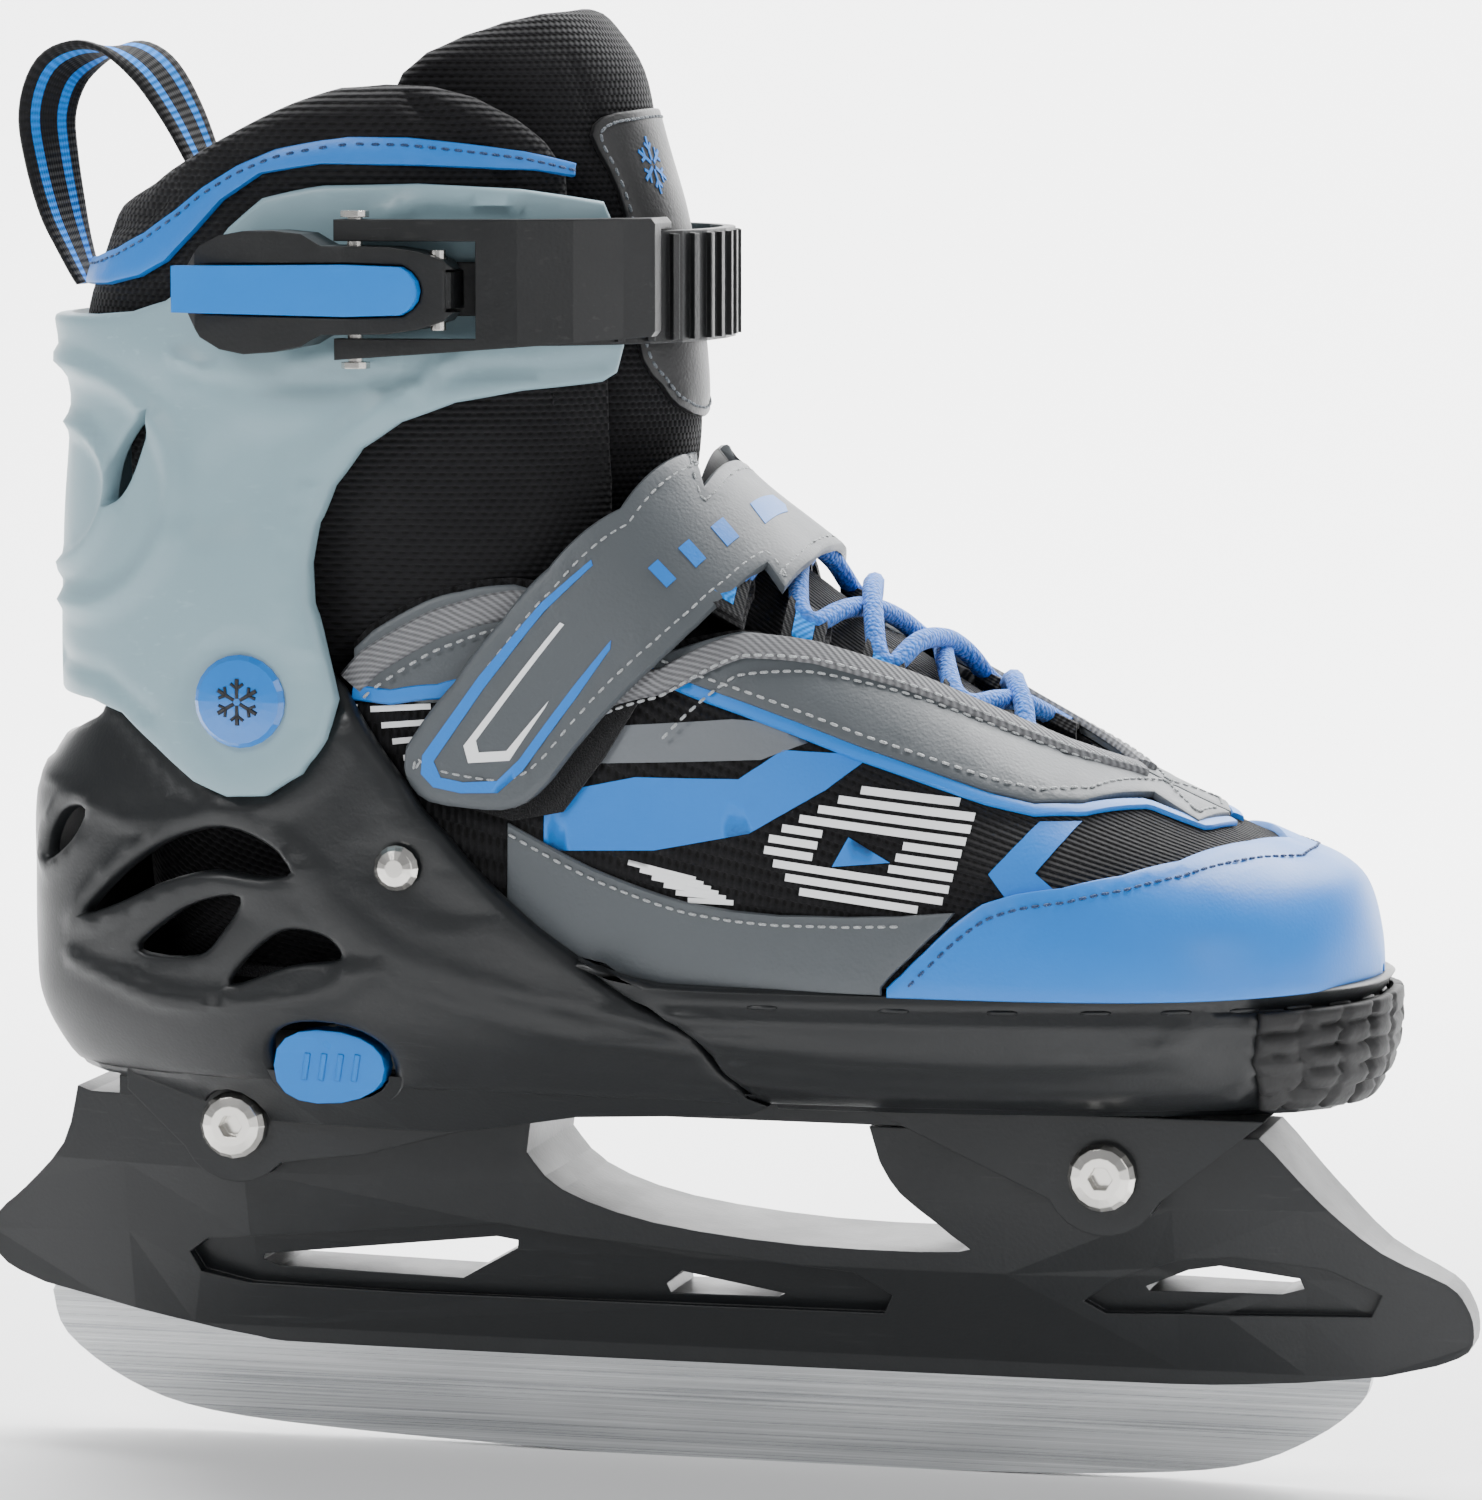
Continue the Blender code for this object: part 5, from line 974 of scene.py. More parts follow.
def make_heel_shell():
    half = [(-127, 74.6), (-100, 74.6), (-60, 74.6), (-20, 74.6)]
    outline = round_back(SHELL, half + WING_EDGE[::-1] + SHELL_TOP[::-1][:-1])
    holes = []
    for side in (LATERAL, MEDIAL):
        holes += [seen(SHELL, vent, side) for vent in (VENT_ARCH, VENT_BACK, VENT_FRONT, VENT_HEEL)]
        if side == LATERAL:
            ring = [(BUTTON[0] + 12.5 * power(math.cos(a), 0.86), BUTTON[1] + 8.5 * (1 - 0.12 * math.cos(a))
                     * power(math.sin(a), 0.86)) for a in [2 * math.pi * i / 30 for i in range(30)]]
            holes.append(seen(SHELL, ring, side))
    lines = []
    wing = [(x - 2.6, z - 1.6) for x, z in WING_EDGE[1:-2]]
    for points, width, rise in ((RIDGE_WING, 2.0, 0.9), (RIDGE_LOW, 1.7, 0.8), (SCOOP, 2.4, 1.2),
                                (CUFF_RECESS, 2.2, 1.0), (HEEL_EDGE, 2.2, 0.8), (wing, 2.2, 0.7)):
        lines += both_sides(SHELL, points, width, rise)
    for vent, rise in ((VENT_ARCH, 0.9), (VENT_HEEL, 0.7)):
        lines += both_sides(SHELL, inset(anticlockwise(vent), -1.8) + inset(anticlockwise(vent), -1.8)[:1],
                            2.0, rise)

    def body(u, v, spot):
        x, z = spot.x, spot.z
        rise = -0.9 * dish(x, z, [(-120, 96), (-101, 91), (-88, 90.4), (-66, 94.4), (-60, 99), (-64, 106),
                                  (-84, 113), (-108, 104)], 5.0, 1.0)
        rise -= 0.7 * dish(x, z, RIVET_FACET, 2.0, 1.0)
        rise -= 0.9 * dish(x, z, [(-50, 98), (-30, 94), (0, 90), (0, 87), (-16, 89), (-46, 96)], 2.0, 1.0)
        if spot.y < 0:
            away = math.hypot((x - BUTTON[0]) / 15, (z - BUTTON[1]) / 10.5)
            rise -= 0.8 * ease((1.0 - away) / 0.25)
        rise += 0.5 * math.exp(-((z - 136) / 6) ** 2) * ease((-104 - x) / 14)
        return rise
    patch("heel_wall", SHELL, outline, "chassis", FINISH["shell"], lift=-3.0, thick=3.0,
          pitch=1.7, edge=0.8, holes=holes, sculpt=body, lines=lines, replaced=["heel_shell"], sharp=60)
    bisected_copy("heel_shell", 77.5, "heel_floor", "chassis", FINISH["shell"])


def make_toe_sole():
    """Outer wall of the sliding sole: lip, stitched channel, long scoops and the tread's frame."""
    edge = [(x + 1.4, z) for x, z in WING_EDGE[6:]]
    half = [(0.4, 98.4)] + edge + [(40, 74.2), (80, 74.2), (110, 74.2), (121, 74.2)]
    lateral = seen(TOE, half, LATERAL)
    loop = lateral + [(-u, v) for u, v in lateral[::-1]]
    lines = []
    for z, width, rise in ((97.6, 1.2, 0.9), (94.9, 1.0, -0.9), (92.4, 1.2, 0.8)):
        line = seen(TOE, [(2, z), (20, z), (45, z), (70, z), (95, z), (112, z), (122, z)], LATERAL)
        line += [(0, z)]
        line += [(-u, v) for u, v in line[:-1][::-1]]
        lines.append((line, width, rise))
    for points, width, rise in (([(8, 88.6), (30, 86), (60, 84.6), (88, 85.6), (96, 89)], 1.7, 0.8),
                                ([(18, 80), (40, 78.6), (70, 78.8), (100, 80), (108, 84)], 1.7, 0.8),
                                ([(14, 84.4), (34, 82.4), (62, 81.6), (92, 82.8)], 2.4, -0.8),
                                ([(84, 90), (90, 87.6), (97, 90.6)], 1.2, 0.8),
                                ([(104, 76.6), (108, 85), (109.4, 93)], 1.6, 0.9)):
        lines += both_sides(TOE, points, width, rise)

    def body(u, v, spot):
        return -0.5 * ease((spot.x - 108) / 6) * ease((97 - spot.z) / 3)
    patch("toe_wall", TOE, loop, "toe", FINISH["shell"], lift=-3.0, thick=3.0, pitch=1.8,
          edge=0.7, sculpt=body, lines=lines, replaced=["toe_sole"], sharp=60)
    bisected_copy("toe_sole", 77.0, "toe_floor", "toe", FINISH["shell"])


def make_collar():
    """Padded ankle cuff of the liner, with rolled rim and quilted seams."""
    rim = [(-119, 240), (-111, 244.6), (-104, 247.4), (-95, 251.4), (-86, 256), (-73, 262), (-64, 265),
           (-55, 265.6), (-46, 265), (-38, 263), (-31, 259), (-26, 254.6), (-22, 249)]
    low = [(-118, 206), (-100, 205), (-70, 204), (-40, 203), (-22, 203)]
    loop = round_back(COLLAR, low + rim[::-1])
    lines = both_sides(COLLAR, smooth([(-50, 262), (-43, 258), (-36, 252), (-31, 244), (-29, 232)], 4), 2.4, -1.6)
    lines += both_sides(COLLAR, smooth([(-112, 238), (-104, 240), (-94, 247), (-84, 252)], 4), 2.0, -0.9)

    def puff(u, v, spot):
        return 1.2 * math.exp(-((spot.z - 256) / 8) ** 2) + 0.5 * math.sin(u * 0.21 + 1) * math.sin(v * 0.17)
    pad = patch("collar_pad", COLLAR, loop, "cuff", FINISH["knit"], lift=-8.0, thick=8.0, pitch=2.2,
          edge=3.9, sculpt=puff, lines=lines, replaced=["liner_collar"], rolled=True, sharp=80)


ANKLE = RingForm([(140, -124.5, 2, 33), (160, -124.5, -2, 34), (175, -124, -6, 36.4), (190, -123.8, -9, 39.4),
                  (214, -123.5, -11, 40.6)], 2.35, True)


def make_ankle_knit():
    """Knitted ankle between the collar and the foot."""
    for side, word in ((LATERAL, "lateral"), (MEDIAL, "medial")):
        loop = seen(ANKLE, [(-108, 142), (-60, 142), (-30, 142), (-12, 150), (-14, 170), (-15, 190), (-16, 212),
                            (-60, 212), (-108, 212)], side)
        lines = [(seen(ANKLE, [(-60, 180), (-44, 184), (-30, 190), (-18, 194)], side), 2.0, -0.7)]
        piece = patch("ankle_knit_" + word, ANKLE, loop, None, FINISH["knit"], lift=-3.5,
                      thick=3.5, pitch=2.6, edge=1.2, lines=lines, sharp=80)
        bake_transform(piece)
    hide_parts("liner_foot")


def make_tongue():
    """Padded tongue with its crown leaning back over the shin."""
    crown = [(-60, 257), (-58.4, 262), (-55.6, 267), (-51, 271), (-44, 274.6), (-37, 277.4), (-31, 279)]
    back = [(-48, 168), (-50, 200), (-54, 235)]
    half = seen(TONGUE, back + crown, LATERAL) + [(-8, 280.2)]
    loop = [(0, 168)] + half + [(0, 280.5)] + [(-u, v) for u, v in half[::-1]]
    lines = both_sides(TONGUE, smooth([(-25, 268), (-17, 252), (-13, 235), (-11, 214)], 3), 1.8, -0.6)

    def puff(u, v, spot):
        return 1.3 * math.exp(-((spot.z - 268) / 7) ** 2) + 0.4 * math.sin(v * 0.2) * math.cos(u * 0.12)
    piece = patch("tongue_pad", TONGUE, loop, None, FINISH["knit"], lift=-6.5, thick=6.5,
                  pitch=2.2, edge=3.2, sculpt=puff, lines=lines, rolled=True, replaced=["tongue"], sharp=80)
    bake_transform(piece)


SHIELD = [(-6.4, 204), (-8.6, 208), (-11.6, 213), (-13.6, 226), (-15, 240), (-18, 248.6), (-21, 255), (-19.4, 258.4),
          (-16, 259.4)]


def make_tongue_shield():
    half = seen(TONGUE, SHIELD, LATERAL)
    loop = half + [(0, 259.8)] + [(-u, v) for u, v in half[::-1]] + [(0, 201.5)]
    loop = smooth(loop, 2, True)
    seam = inset(anticlockwise(loop), 1.7)
    patch("shin_shield", TONGUE, loop, "cuff", FINISH["black_pu"], lift=0.1, thick=1.5, pitch=2.0,
          edge=0.6, lines=[(seam + seam[:1], 0.8, -0.3)], replaced=["tongue_shield"])
    stitches("shin_shield_seam", "cuff", FINISH["thread_grey"],
             [(TONGUE, seam + seam[:1], 1.66)], radius=0.3)
    snowflake("shin_emblem", TONGUE, (-11.0, 249.0), 5.4, 1.6, "cuff", FINISH["print_blue"])


def bar_loop(a, b, width):
    a, b = Vector(a), Vector(b)
    across = Vector((-(b - a).y, (b - a).x)).normalized() * width / 2
    return [tuple(a - across), tuple(b - across), tuple(b + across), tuple(a + across)]


def snowflake(name, form, centre, size, lift, body, material):
    """A plain six-armed frost mark."""
    loops = []
    for k in range(6):
        turn = math.radians(60 * k + 30)
        arm = Vector((math.cos(turn), math.sin(turn)))
        start, end = Vector(centre) + arm * size * 0.16, Vector(centre) + arm * size
        loops.append(bar_loop(start, end, size * 0.13))
        for sign in (-1, 1):
            twig = Vector((math.cos(turn + sign * 0.9), math.sin(turn + sign * 0.9)))
            root = Vector(centre) + arm * size * 0.55
            loops.append(bar_loop(root, root + twig * size * 0.34, size * 0.11))
    return prints(name, form, loops, lift, body, material)


def prints(name, form, loops, lift, body, material, thick=0.16, pitch=3.0):
    """Flat transfer prints: one thin layer per loop, in one piece."""
    points, faces, lay = [], [], []
    for loop in loops:
        outline = resample(anticlockwise(loop), 1.6)
        places, tris, first = sheet_faces([outline], pitch)
        start = len(points)
        for height in (thick, 0.0):
            for place in places:
                spot, out = form.frame(*place)
                points.append(spot + out * (lift + height))
                lay.append(place)
        count = len(places)
        faces += [tuple(start + i for i in face) for face in tris]
        faces += [tuple(start + count + i for i in face[::-1]) for face in tris]
        for i, here in enumerate(first):
            after = first[(i + 1) % len(first)]
            if here != after:
                faces.append((start + here, start + count + here, start + count + after, start + after))
    return mesh_piece(name, points, faces, body, material, lay=lay)


TRIM_LOW = [(-122, 226), (-112, 226.6), (-104, 228.4), (-98, 231.4), (-92, 237), (-86, 243), (-78, 248), (-66, 249.8),
            (-47, 249.6), (-28, 248.6), (-22, 247.4)]
TRIM_TOP = [(-22, 249.8), (-30, 252.2), (-41, 253.8), (-50, 254.8), (-61, 255), (-75, 252.6), (-83, 249.4),
            (-90, 245.4), (-96, 241), (-103, 236.6), (-110, 233.4), (-116, 231.6), (-122, 230.6)]


def make_collar_trim():
    loop = round_back(COLLAR, TRIM_TOP[::-1] + TRIM_LOW[::-1])
    half = [(x, z - 1.5) for x, z in TRIM_TOP]
    seam = seen(COLLAR, half, LATERAL)
    seam += [(-u, v) for u, v in seam[::-1]]
    patch("collar_band", COLLAR, loop, "cuff", FINISH["blue_pu"], lift=0.1, thick=1.5, pitch=2.0,
          edge=0.6, lines=[(seam, 0.8, -0.35)], replaced=["collar_trim"])
    stitches("collar_band_seam", "cuff", FINISH["thread_blue"], [(COLLAR, seam, 1.64)], radius=0.3)


def make_pull_loop():
    path = smooth([(-126.6, 226), (-129.4, 233), (-131.8, 240), (-134, 250), (-134.8, 259), (-132, 266.6),
                   (-126, 270.4), (-119, 270.8), (-113, 267.4), (-107.6, 259.6), (-103, 250), (-99.4, 241)], 5)
    rings, lay = [], []
    run = 0.0
    half, thick = 5.9, 0.75
    section = [(-half, -thick * 0.4), (-half * 0.9, -thick), (-3.6, -thick), (-1.6, -thick), (0, -thick), (1.6, -thick),
               (3.6, -thick), (half * 0.9, -thick), (half, -thick * 0.4), (half, thick * 0.4), (half * 0.9, thick),
               (3.6, thick), (1.6, thick), (0, thick), (-1.6, thick), (-3.6, thick), (-half * 0.9, thick),
               (-half, thick * 0.4)]
    for i, (x, z) in enumerate(path):
        before, after = path[max(i - 1, 0)], path[min(i + 1, len(path) - 1)]
        along = Vector((after[0] - before[0], 0, after[1] - before[1])).normalized()
        run += math.dist(path[i - 1], path[i]) if i else 0.0
        t = i / (len(path) - 1)
        turn = math.radians(90 - 55 * math.sin(math.pi * t))
        across = Vector((math.cos(turn), math.sin(turn), 0))
        across = (across - along * across.dot(along)).normalized()
        normal = along.cross(across)
        rings.append([Vector((x, 0, z)) + across * a + normal * b for a, b in section])
        lay += [(run, a) for a, b in section]
    loft_piece("pull_loop_tape", rings, "cuff", FINISH["striped"], ["pull_loop"], lay=lay)


# ---------------------------------------------------------------- sewn upper

THROAT = [(-30, -35), (-14, -34.4), (-1, -33.5), (12, -29), (25, -25), (42, -20), (60, -14.5), (70, -10.5), (76, -6)]


def throat_line(wider=0.0):
    """Edge of the lacing throat on the outer side, from the ankle to the toe."""
    return [UPPER.above(x, y - wider) for x, y in THROAT] + [(79.5 + wider, 0)]


def mirrored(loop):
    """A half outline on the outer side, closed with its mirror image over the top."""
    return list(loop) + [(u, -v) for u, v in list(loop)[::-1]]


ANKLE_LINE = [(-62, 160), (-59, 163.4), (-50, 168.4), (-41, 171.4), (-31, 172.8), (-24, 171.6)]
EYESTAY_LOW = [(-7, 157.4), (0, 155), (10, 151.4), (24, 146.6), (37, 141.8), (50, 137.4), (60, 134), (68, 132),
               (76, 131.6), (86, 131.6)]
CAP_EDGE = [(43.6, 99.4), (46.4, 102), (50.8, 106.4), (56, 111.4), (61, 115), (67, 116.8), (75, 117.8), (85, 119.6),
            (94, 121.4), (104, 123.2), (109, 124.2)]
RAND_TOP = [(-31, 127), (-24, 123.6), (-14, 119.2), (-4, 116), (5, 113.7), (14, 112.6), (23, 112.1), (36, 112.2),
            (46, 112.6), (56, 113.4)]
BINDING_LINE = [(-25, 170), (-12, 167), (-1, 162.6)]


def make_vamp():
    """Sandwich-mesh upper under every overlay."""
    ankle = seen(UPPER, ANKLE_LINE, LATERAL)
    back = seen(UPPER, [(-62, 128), (-62, 146)], LATERAL)
    half = [(142, -78), (118, -78), (80, -78), (40, -78), (0, -78), (-30, -78)] + back + ankle
    half += throat_line()[:-1]
    loop = half + [(79.5, 0)] + [(u, -v) for u, v in half[::-1]]
    patch("vamp", UPPER, loop, "toe", FINISH["vamp"], lift=-2.4, thick=2.4, pitch=2.4, edge=0.6,
          replaced=["upper"], sharp=70)


def make_vamp_tongue():
    """The tongue's long lower part under the laces."""
    half = [(4, -31), (20, -30), (42, -26), (62, -20), (82, -12)]
    loop = [(4, 0)] + half + [(86, 0)] + [(u, -v) for u, v in half[::-1]]

    def puff(u, v, spot):
        return 0.9 * math.cos(min(abs(v) / 30, 1.0) * math.pi / 2)
    patch("vamp_tongue", UPPER, loop, "toe", FINISH["knit"], lift=-6.6, thick=3.0, pitch=2.4,
          edge=1.2, sculpt=puff, sharp=80)


def make_toe_cap():
    edge = seen(UPPER, CAP_EDGE, LATERAL)
    half = [(142, -79.4), (118, -79.4), (80, -79.4), (edge[0][0], -79.4)] + edge
    loop = half + [(111.4, 0)] + [(u, -v) for u, v in half[::-1]]
    seam_half = [(x + 1.0, z - 2.6) for x, z in CAP_EDGE[1:-1]]
    seam = seen(UPPER, seam_half, LATERAL) + [(114.6, -14)] + [(115.6, 0)]
    seam += [(u, -v) for u, v in seam[:-1][::-1]]
    patch("toe_cap_skin", UPPER, loop, "toe", FINISH["blue_pu"], lift=0.1, thick=1.4, pitch=2.2,
          edge=0.6, lines=[(seam, 0.8, -0.35)], replaced=["toe_cap"])
    stitches("toe_cap_seam", "toe", FINISH["thread_blue"], [(UPPER, seam, 1.52)], radius=0.3)


def make_rands():
    for side, word in ((LATERAL, "lateral"), (MEDIAL, "medial")):
        top = seen(UPPER, RAND_TOP, side)
        cap = seen(UPPER, [(53.6, 110.4), (48, 105), (42.6, 99.4)], side)
        base = side * 79.0
        low = [(cap[-1][0], base), (0, base), (-31, base)]
        seam = seen(UPPER, [(x, z - 1.9) for x, z in RAND_TOP[:-1]], side)
        patch("rand_skin_" + word, UPPER, top + cap + low, "toe", FINISH["grey_pu"], lift=0.1,
              thick=1.3, pitch=2.4, edge=0.6, lines=[(seam, 0.8, -0.3)], replaced=["rand_" + word])
        stitches("rand_seam_" + word, "toe", FINISH["thread_white"], [(UPPER, seam, 1.42)], radius=0.3)


def make_eyestays():
    for side, word in ((LATERAL, "lateral"), (MEDIAL, "medial")):
        low = seen(UPPER, EYESTAY_LOW, side)
        tip = [(97.4, side * 4.0), (98.4, side * 0.4)]
        top = [(u, -side * v) for u, v in throat_line(0.8)[2:]]
        top[-1] = (80.5, side * 0.4)
        loop = low + [(95, side * 16)] + tip + top[::-1]
        seam = [(u, v) for u, v in seen(UPPER, [(x, z + 1.8) for x, z in EYESTAY_LOW], side)]
        seam += [(94, side * 12), (96, side * 2)]
        inner_seam = [(u, -side * v) for u, v in throat_line(5.4)[2:-1]]
        patch("eyestay_skin_" + word, UPPER, loop, "toe", FINISH["grey_pu"], lift=0.3, thick=1.4,
              pitch=2.2, edge=0.6, lines=[(seam, 0.8, -0.3), (inner_seam, 0.8, -0.3)],
              replaced=["eyestay_" + word])
        stitches("eyestay_seam_" + word, "toe", FINISH["thread_white"],
                 [(UPPER, seam, 1.78), (UPPER, inner_seam, 1.78)], radius=0.3)
        binding = [(u, -side * v) for u, v in throat_line(2.6)[1:-1]] + [(81.6, side * 2)]
        tape("throat_binding_" + word, UPPER, binding, 5.0, 1.5, 1.4, "toe", FINISH["binding"])
        edge = seen(UPPER, [(x, z - 0.9) for x, z in EYESTAY_LOW], side)
        tape("eyestay_piping_" + word, UPPER, edge + [(96, side * 15), (99.4, side * 3)], 2.6, 0.25, 1.0, "toe",
             FINISH["blue_pu"])
        ankle = seen(UPPER, ANKLE_LINE, side)
        tape("ankle_binding_" + word, UPPER, [(u, v + side * 2.4) for u, v in ankle], 5.6, 0.2, 1.6, "toe",
             FINISH["binding"])
        stitches("binding_seam_" + word, "toe", FINISH["thread_white"],
                 [(UPPER, [(u, v + side * 4.2) for u, v in ankle], 1.95),
                  (UPPER, [(u, v + side * 2.0) for u, v in binding], 2.8)], radius=0.3)


def tape(name, form, line, width, lift, thick, body, material):
    """A flat tape with rolled edges that follows a line on a form."""
    line = even(line, 1.8)
    half, crown = width / 2, thick
    section = [(-half, 0.0), (-half, crown * 0.45), (-half * 0.8, crown * 0.9), (-half * 0.3, crown),
               (half * 0.3, crown), (half * 0.8, crown * 0.9), (half, crown * 0.45), (half, 0.0)]
    rings, lay = [], []
    run = 0.0
    spots = on(form, line, lift)
    for i, place in enumerate(line):
        spot, out = form.frame(*place)
        run += (spots[i] - spots[i - 1]).length if i else 0.0
        along = (spots[min(i + 1, len(spots) - 1)] - spots[max(i - 1, 0)]).normalized()
        across = out.cross(along).normalized()
        rings.append([spots[i] + across * a + out * b for a, b in section])
        lay += [(run, a) for a, b in section]
    return loft_piece(name, rings, body, material, lay=lay)


def chevron(points):
    return smooth(points, 1, True)


def make_side_prints():
    """Printed blue, grey and white shapes on both sides of the vamp."""
    blue = [
        [(-24, 132.5), (-6, 136.4), (14, 136.6), (22, 142), (38.4, 141.2), (30.5, 135), (16.5, 126.8), (-2, 123),
         (-24, 122)],
        [(69.5, 129.4), (76.6, 129.2), (70, 120.6), (75.4, 116.4), (67.4, 113.4), (61.6, 120.4)],
    ]
    grey = [[(-12, 145.6), (12, 147.4), (22, 146.8), (26.4, 143.4), (18, 140.2), (-15, 138.6)]]
    white = []
    lefts = (37.0, 33.0, 29.4, 26.0, 22.8, 20.4, 19.6, 21.4, 23.8, 26.6)
    rights = (55.0, 58.0, 57.6, 57.0, 56.4, 55.8, 55.2, 54.6, 53.6, 49.0)
    for k, (left, right) in enumerate(zip(lefts, rights)):
        z = 135.2 - 2.2 * k
        ends = [(left, right)]
        if k in (4, 5, 6):
            ends = [(left, 30.4 - 0.8 * (k - 4)), (45.6 - 1.2 * (k - 4), right)]
        for a, b in ends:
            white.append(bar_loop((a, z - (a - 36) * 0.12), (b, z - (b - 36) * 0.12), 1.4))
    for k in range(6):
        a, b = -7.0 + 2.4 * k, 6.4 + 1.5 * k
        white.append(bar_loop((a, 120.6 - 1.3 * k), (b, 118.0 - 0.8 * k), 0.95))
    arrow = [[(32.6, 121.2), (35.4, 126.6), (43.4, 122.2)]]
    for side, word in ((LATERAL, "lateral"), (MEDIAL, "medial")):
        for colour, loops, slot in (("print_blue", blue + arrow, "blue_synthetic"),
                                    ("print_grey", grey, "grey_synthetic"),
                                    ("print_white", white, "grey_synthetic")):
            placed = [seen(UPPER, resample(loop, 4.0), side) for loop in loops]
            prints("vamp_" + colour + "_" + word, UPPER, placed, 0.05, "toe", FINISH[colour])


def make_rear_panel():
    """Grey quarter panel with blue piping and slanting pale bars, behind the strap."""
    for side, word in ((LATERAL, "lateral"), (MEDIAL, "medial")):
        panel = [(-61.6, 150), (-61.6, 159), (-58, 162.4), (-50, 167), (-41, 170), (-31, 171.4), (-20, 168), (-8, 161),
                 (-8, 150), (-30, 147), (-48, 149)]
        patch("quarter_skin_" + word, UPPER, seen(UPPER, panel, side), "toe", FINISH["grey_pu"],
              lift=0.1, thick=0.9, pitch=2.6, edge=0.4)
        pipe = seen(UPPER, [(-61.6, 150.8), (-54, 150), (-45, 151.2), (-36, 153)], side)
        tape("quarter_piping_" + word, UPPER, pipe, 3.0, 0.5, 0.9, "toe", FINISH["blue_pu"])
        bars = [bar_loop((-58.4 + 2.2 * k, 147.6 - 3.0 * k), (-46.6 + 0.6 * k, 148.4 - 2.9 * k), 1.1) for k in range(4)]
        prints("quarter_bars_" + word, UPPER, [seen(UPPER, resample(bar, 4.0), side) for bar in bars], 0.05, "toe",
               FINISH["print_white"])


# ---------------------------------------------------------------- instep strap

STRAP_LOW = smooth([(-50, 141), (-50.4, 137), (-49, 133.6), (-45.4, 130.8), (-38, 129.8), (-31, 129.6), (-26, 131.2),
                    (-21.6, 135), (-18, 139.6), (-10, 149), (-3, 156), (4, 163), (13, 172)], 2)
STRAP_TOP = [(-50, 141), (-41, 153), (-32, 164.8), (-24, 174), (-13, 184), (-5, 192.6)]


def strap_loop(side_in=0.0):
    """The strap's outline over the instep: rounded free end on the outer side, sewn root inside."""
    low = seen(UPPER, STRAP_LOW, LATERAL) + [(17, -24), (19.2, -12), (19.8, 0)]
    top = seen(UPPER, STRAP_TOP, LATERAL) + [(-1.6, -16), (-1, -6), (-1, 0)]
    other_low = [(u, -v) for u, v in low[:-1][::-1]]
    other_top = [(u, -v) for u, v in top[:-1][::-1]]
    loop = low + other_low + other_top[::-1] + top[::-1]
    cleaned = []
    for place in loop:
        if not cleaned or math.dist(place, cleaned[-1]) > 0.3:
            cleaned.append(place)
    if math.dist(cleaned[0], cleaned[-1]) < 0.3:
        cleaned.pop()
    return cleaned


STRAP_FOLD = UPPER.above(9, 14)[1]


def clip(loop, limit, beyond):
    """The part of a closed loop on one side of a constant v."""
    sign = 1 if beyond else -1
    kept = []
    for i, a in enumerate(loop):
        b = loop[(i + 1) % len(loop)]
        if sign * (a[1] - limit) >= 0:
            kept.append(a)
        if (a[1] - limit) * (b[1] - limit) < 0:
            t = (limit - a[1]) / (b[1] - a[1])
            kept.append((a[0] + (b[0] - a[0]) * t, limit))
    return kept


def runs(line, wanted):
    """The stretches of a line whose places are wanted."""
    found, now = [], []
    for place in line:
        if wanted(place):
            now.append(place)
        elif now:
            found.append(now)
            now = []
    if now:
        found.append(now)
    return [run for run in found if len(run) > 3]


def make_strap():
    loop = anticlockwise(strap_loop())
    seam = inset(resample(loop, 1.6), 2.0)
    seam = seam + seam[:1]
    fold = STRAP_FOLD
    flap = clip(loop, fold, False)
    root = clip(loop, fold + 0.5, True)
    for name, part, body, node_name in (("instep_flap", flap, "instep", "instep_strap"),
                                        ("instep_root", root, "toe", "strap_root")):
        patch(name, UPPER, part, body, FINISH["grey_pu"], lift=3.2, thick=1.9, pitch=2.0,
              edge=0.8, lines=[(seam, 0.9, -0.35)], replaced=[node_name])
    near = [(UPPER, run, 5.0) for run in runs(seam, lambda place: place[1] < fold - 1.5)]
    far = [(UPPER, run, 5.0) for run in runs(seam, lambda place: place[1] > fold + 2.0)]
    stitches("instep_seam", "instep", FINISH["thread_white"], near)
    stitches("instep_root_seam", "toe", FINISH["thread_white"], far)
    outer = [(-46.6, 139.4), (-46.8, 136), (-44.4, 133.6), (-39, 132.6), (-31.6, 132.8), (-26.6, 137), (-17, 150),
             (-11, 159)]
    inner = [(-11, 160.6), (-17.4, 152.4), (-27.4, 139), (-31.8, 135), (-38.6, 134.6), (-43, 135.4), (-44.4, 138.4),
             (-35, 152), (-24, 166), (-16, 174), (-16.4, 175), (-24.6, 167.6), (-36, 154.2)]
    frame_loop = outer + inner
    white = [(-38.6, 141.4), (-37.6, 138.2), (-29.4, 138.8), (-22.6, 148.6), (-22, 149.8), (-30, 140.6), (-35.6, 140.2),
             (-36.2, 142.4), (-20, 163.6), (-20.8, 164)]
    prints("instep_frame_print", UPPER, [seen(UPPER, resample(frame_loop, 3.0), LATERAL)], 5.08, "instep",
           FINISH["print_blue"])
    prints("instep_line_print", UPPER, [seen(UPPER, resample(white, 3.0), LATERAL)], 5.08, "instep",
           FINISH["print_white"])
    marks = []
    for k in range(4):
        x, z = -4.6 + 4.2 * k, 171.4 + 3.0 * k
        marks.append(seen(UPPER, resample(bar_loop((x - 1.2, z + 2.2), (x + 2.6, z - 1.4), 1.9), 2.0), LATERAL))
    prints("instep_bars_print", UPPER, marks, 5.08, "instep", FINISH["print_blue"])


# ---------------------------------------------------------------- laces

LACE_ROWS = [(-5, 180), (10, 172), (25, 163.5), (42, 154), (60, 144.5), (75, 137)]


